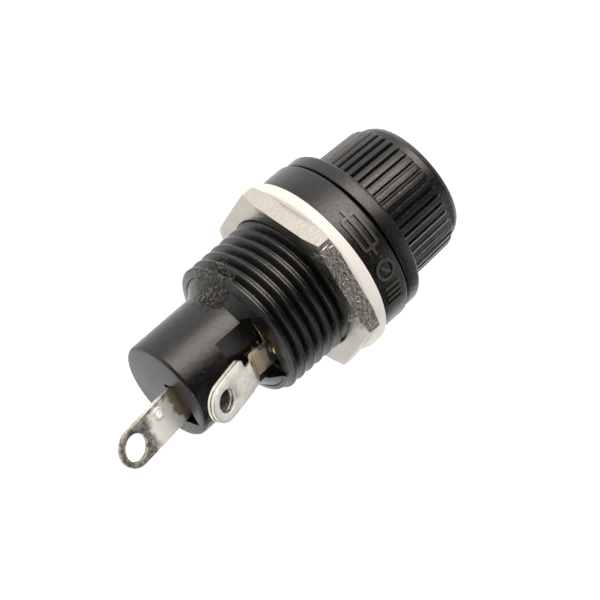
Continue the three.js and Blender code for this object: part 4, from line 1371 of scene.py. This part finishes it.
def softbox(name, azimuth, elevation, distance, width, height, watts, colour):
    """A soft rectangular light that looks at the middle, with its angles in degrees."""
    data = bpy.data.lights.new(name, "AREA")
    data.color = colour
    data.shape = "RECTANGLE"
    data.size = width
    data.size_y = height
    data.energy = watts
    light = bpy.data.objects.new(name, data)
    bpy.context.scene.collection.objects.link(light)
    turn = looking(math.radians(azimuth), math.radians(elevation))
    light.matrix_world = Matrix.Translation(turn @ Vector((0, 0, distance))) @ turn


def add_floor():
    """A plain pale floor under the lowest point of the holder."""
    bm = bmesh.new()
    bmesh.ops.create_grid(bm, x_segments=1, y_segments=1, size=0.6)
    bmesh.ops.translate(bm, vec=(0, 0, CAD_BOX[0][2] - 0.0002), verts=bm.verts)
    floor = object_from("floor", bm)
    material, graph, inputs = material_graph("floor")
    cloud = graph.noise(graph.place(), 40, 2.0, 0.5)
    tone = graph.blend(cloud, rgb(colours().floor), rgb(colours().floor, 0.98))
    graph.put(inputs["Base Color"], tone)
    inputs["Roughness"].default_value = 0.9
    inputs["Specular IOR Level"].default_value = 0.0
    inputs["Emission Color"].default_value = (1, 1, 1, 1)
    inputs["Emission Strength"].default_value = 0.86
    floor.data.materials.append(material)


def add_world():
    """Weak even light from all round."""
    world = bpy.data.worlds.new("studio")
    world.use_nodes = True
    background = world.node_tree.nodes["Background"]
    background.inputs["Color"].default_value = (1, 0.99, 0.97, 1)
    background.inputs["Strength"].default_value = 0.055
    bpy.context.scene.world = world
    bpy.context.scene.view_settings.view_transform = "Standard"


# ---- Operators ----
class FUSEHOLDER_OT_body(bpy.types.Operator):
    """Build the moulded body and the raised marks on its flange"""

    bl_idname = "fuseholder.body"
    bl_label = "Body"

    def execute(self, context):
        holder_body()
        rim_marks()
        return {"FINISHED"}


class FUSEHOLDER_OT_panel_hardware(bpy.types.Operator):
    """Build the hexagon nut and the plastic washer"""

    bl_idname = "fuseholder.panel_hardware"
    bl_label = "Nut and Washer"

    def execute(self, context):
        panel_nut()
        panel_washer()
        return {"FINISHED"}


class FUSEHOLDER_OT_cap(bpy.types.Operator):
    """Build the ribbed screw cap"""

    bl_idname = "fuseholder.cap"
    bl_label = "Cap"

    def execute(self, context):
        cap_shell()
        return {"FINISHED"}


class FUSEHOLDER_OT_terminals(bpy.types.Operator):
    """Build the two stamped terminals and the rivet"""

    bl_idname = "fuseholder.terminals"
    bl_label = "Terminals"

    def execute(self, context):
        side_terminal()
        side_rivet()
        tail_terminal()
        return {"FINISHED"}


class FUSEHOLDER_OT_inner(bpy.types.Operator):
    """Build the carrier, clip, fuse and inner contacts"""

    bl_idname = "fuseholder.inner"
    bl_label = "Inner Pieces"

    def execute(self, context):
        carrier_and_clip()
        fuse()
        inner_contacts()
        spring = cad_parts["contact_spring"]
        spring.data.materials.clear()
        spring.data.materials.append(finish("spring_steel"))
        return {"FINISHED"}


class FUSEHOLDER_OT_stage(bpy.types.Operator):
    """Add the floor, the soft light and the camera"""

    bl_idname = "fuseholder.stage"
    bl_label = "Stage"

    def execute(self, context):
        add_floor()
        add_world()
        add_camera()
        for values in SOFTBOXES:
            softbox(*values)
        return {"FINISHED"}


class FUSEHOLDER_PT_sidebar(bpy.types.Panel):
    """Lists the steps that build the fuse holder"""

    bl_idname = "FUSEHOLDER_PT_sidebar"
    bl_label = "Fuse Holder"
    bl_space_type = "VIEW_3D"
    bl_region_type = "UI"
    bl_category = "Fuse Holder"

    def draw(self, context):
        for operator in OPERATORS:
            self.layout.operator(operator.bl_idname)
        for group in (context.scene.holder_sizes, context.scene.holder_colours):
            box = self.layout.box()
            for key in group.__annotations__:
                box.prop(group, key)


OPERATORS = (
    FUSEHOLDER_OT_body,
    FUSEHOLDER_OT_panel_hardware,
    FUSEHOLDER_OT_cap,
    FUSEHOLDER_OT_terminals,
    FUSEHOLDER_OT_inner,
    FUSEHOLDER_OT_stage,
)
CLASSES = (HolderSizes, HolderColours, *OPERATORS, FUSEHOLDER_PT_sidebar)


def register():
    for cls in CLASSES:
        bpy.utils.register_class(cls)
    bpy.types.Scene.holder_sizes = PointerProperty(type=HolderSizes)
    bpy.types.Scene.holder_colours = PointerProperty(type=HolderColours)


def unregister():
    del bpy.types.Scene.holder_colours
    del bpy.types.Scene.holder_sizes
    for cls in reversed(CLASSES):
        bpy.utils.unregister_class(cls)


def main():
    register()
    bpy.ops.fuseholder.body()
    bpy.ops.fuseholder.panel_hardware()
    bpy.ops.fuseholder.cap()
    bpy.ops.fuseholder.terminals()
    bpy.ops.fuseholder.inner()
    bpy.ops.fuseholder.stage()


if __name__ == "__main__":
    main()
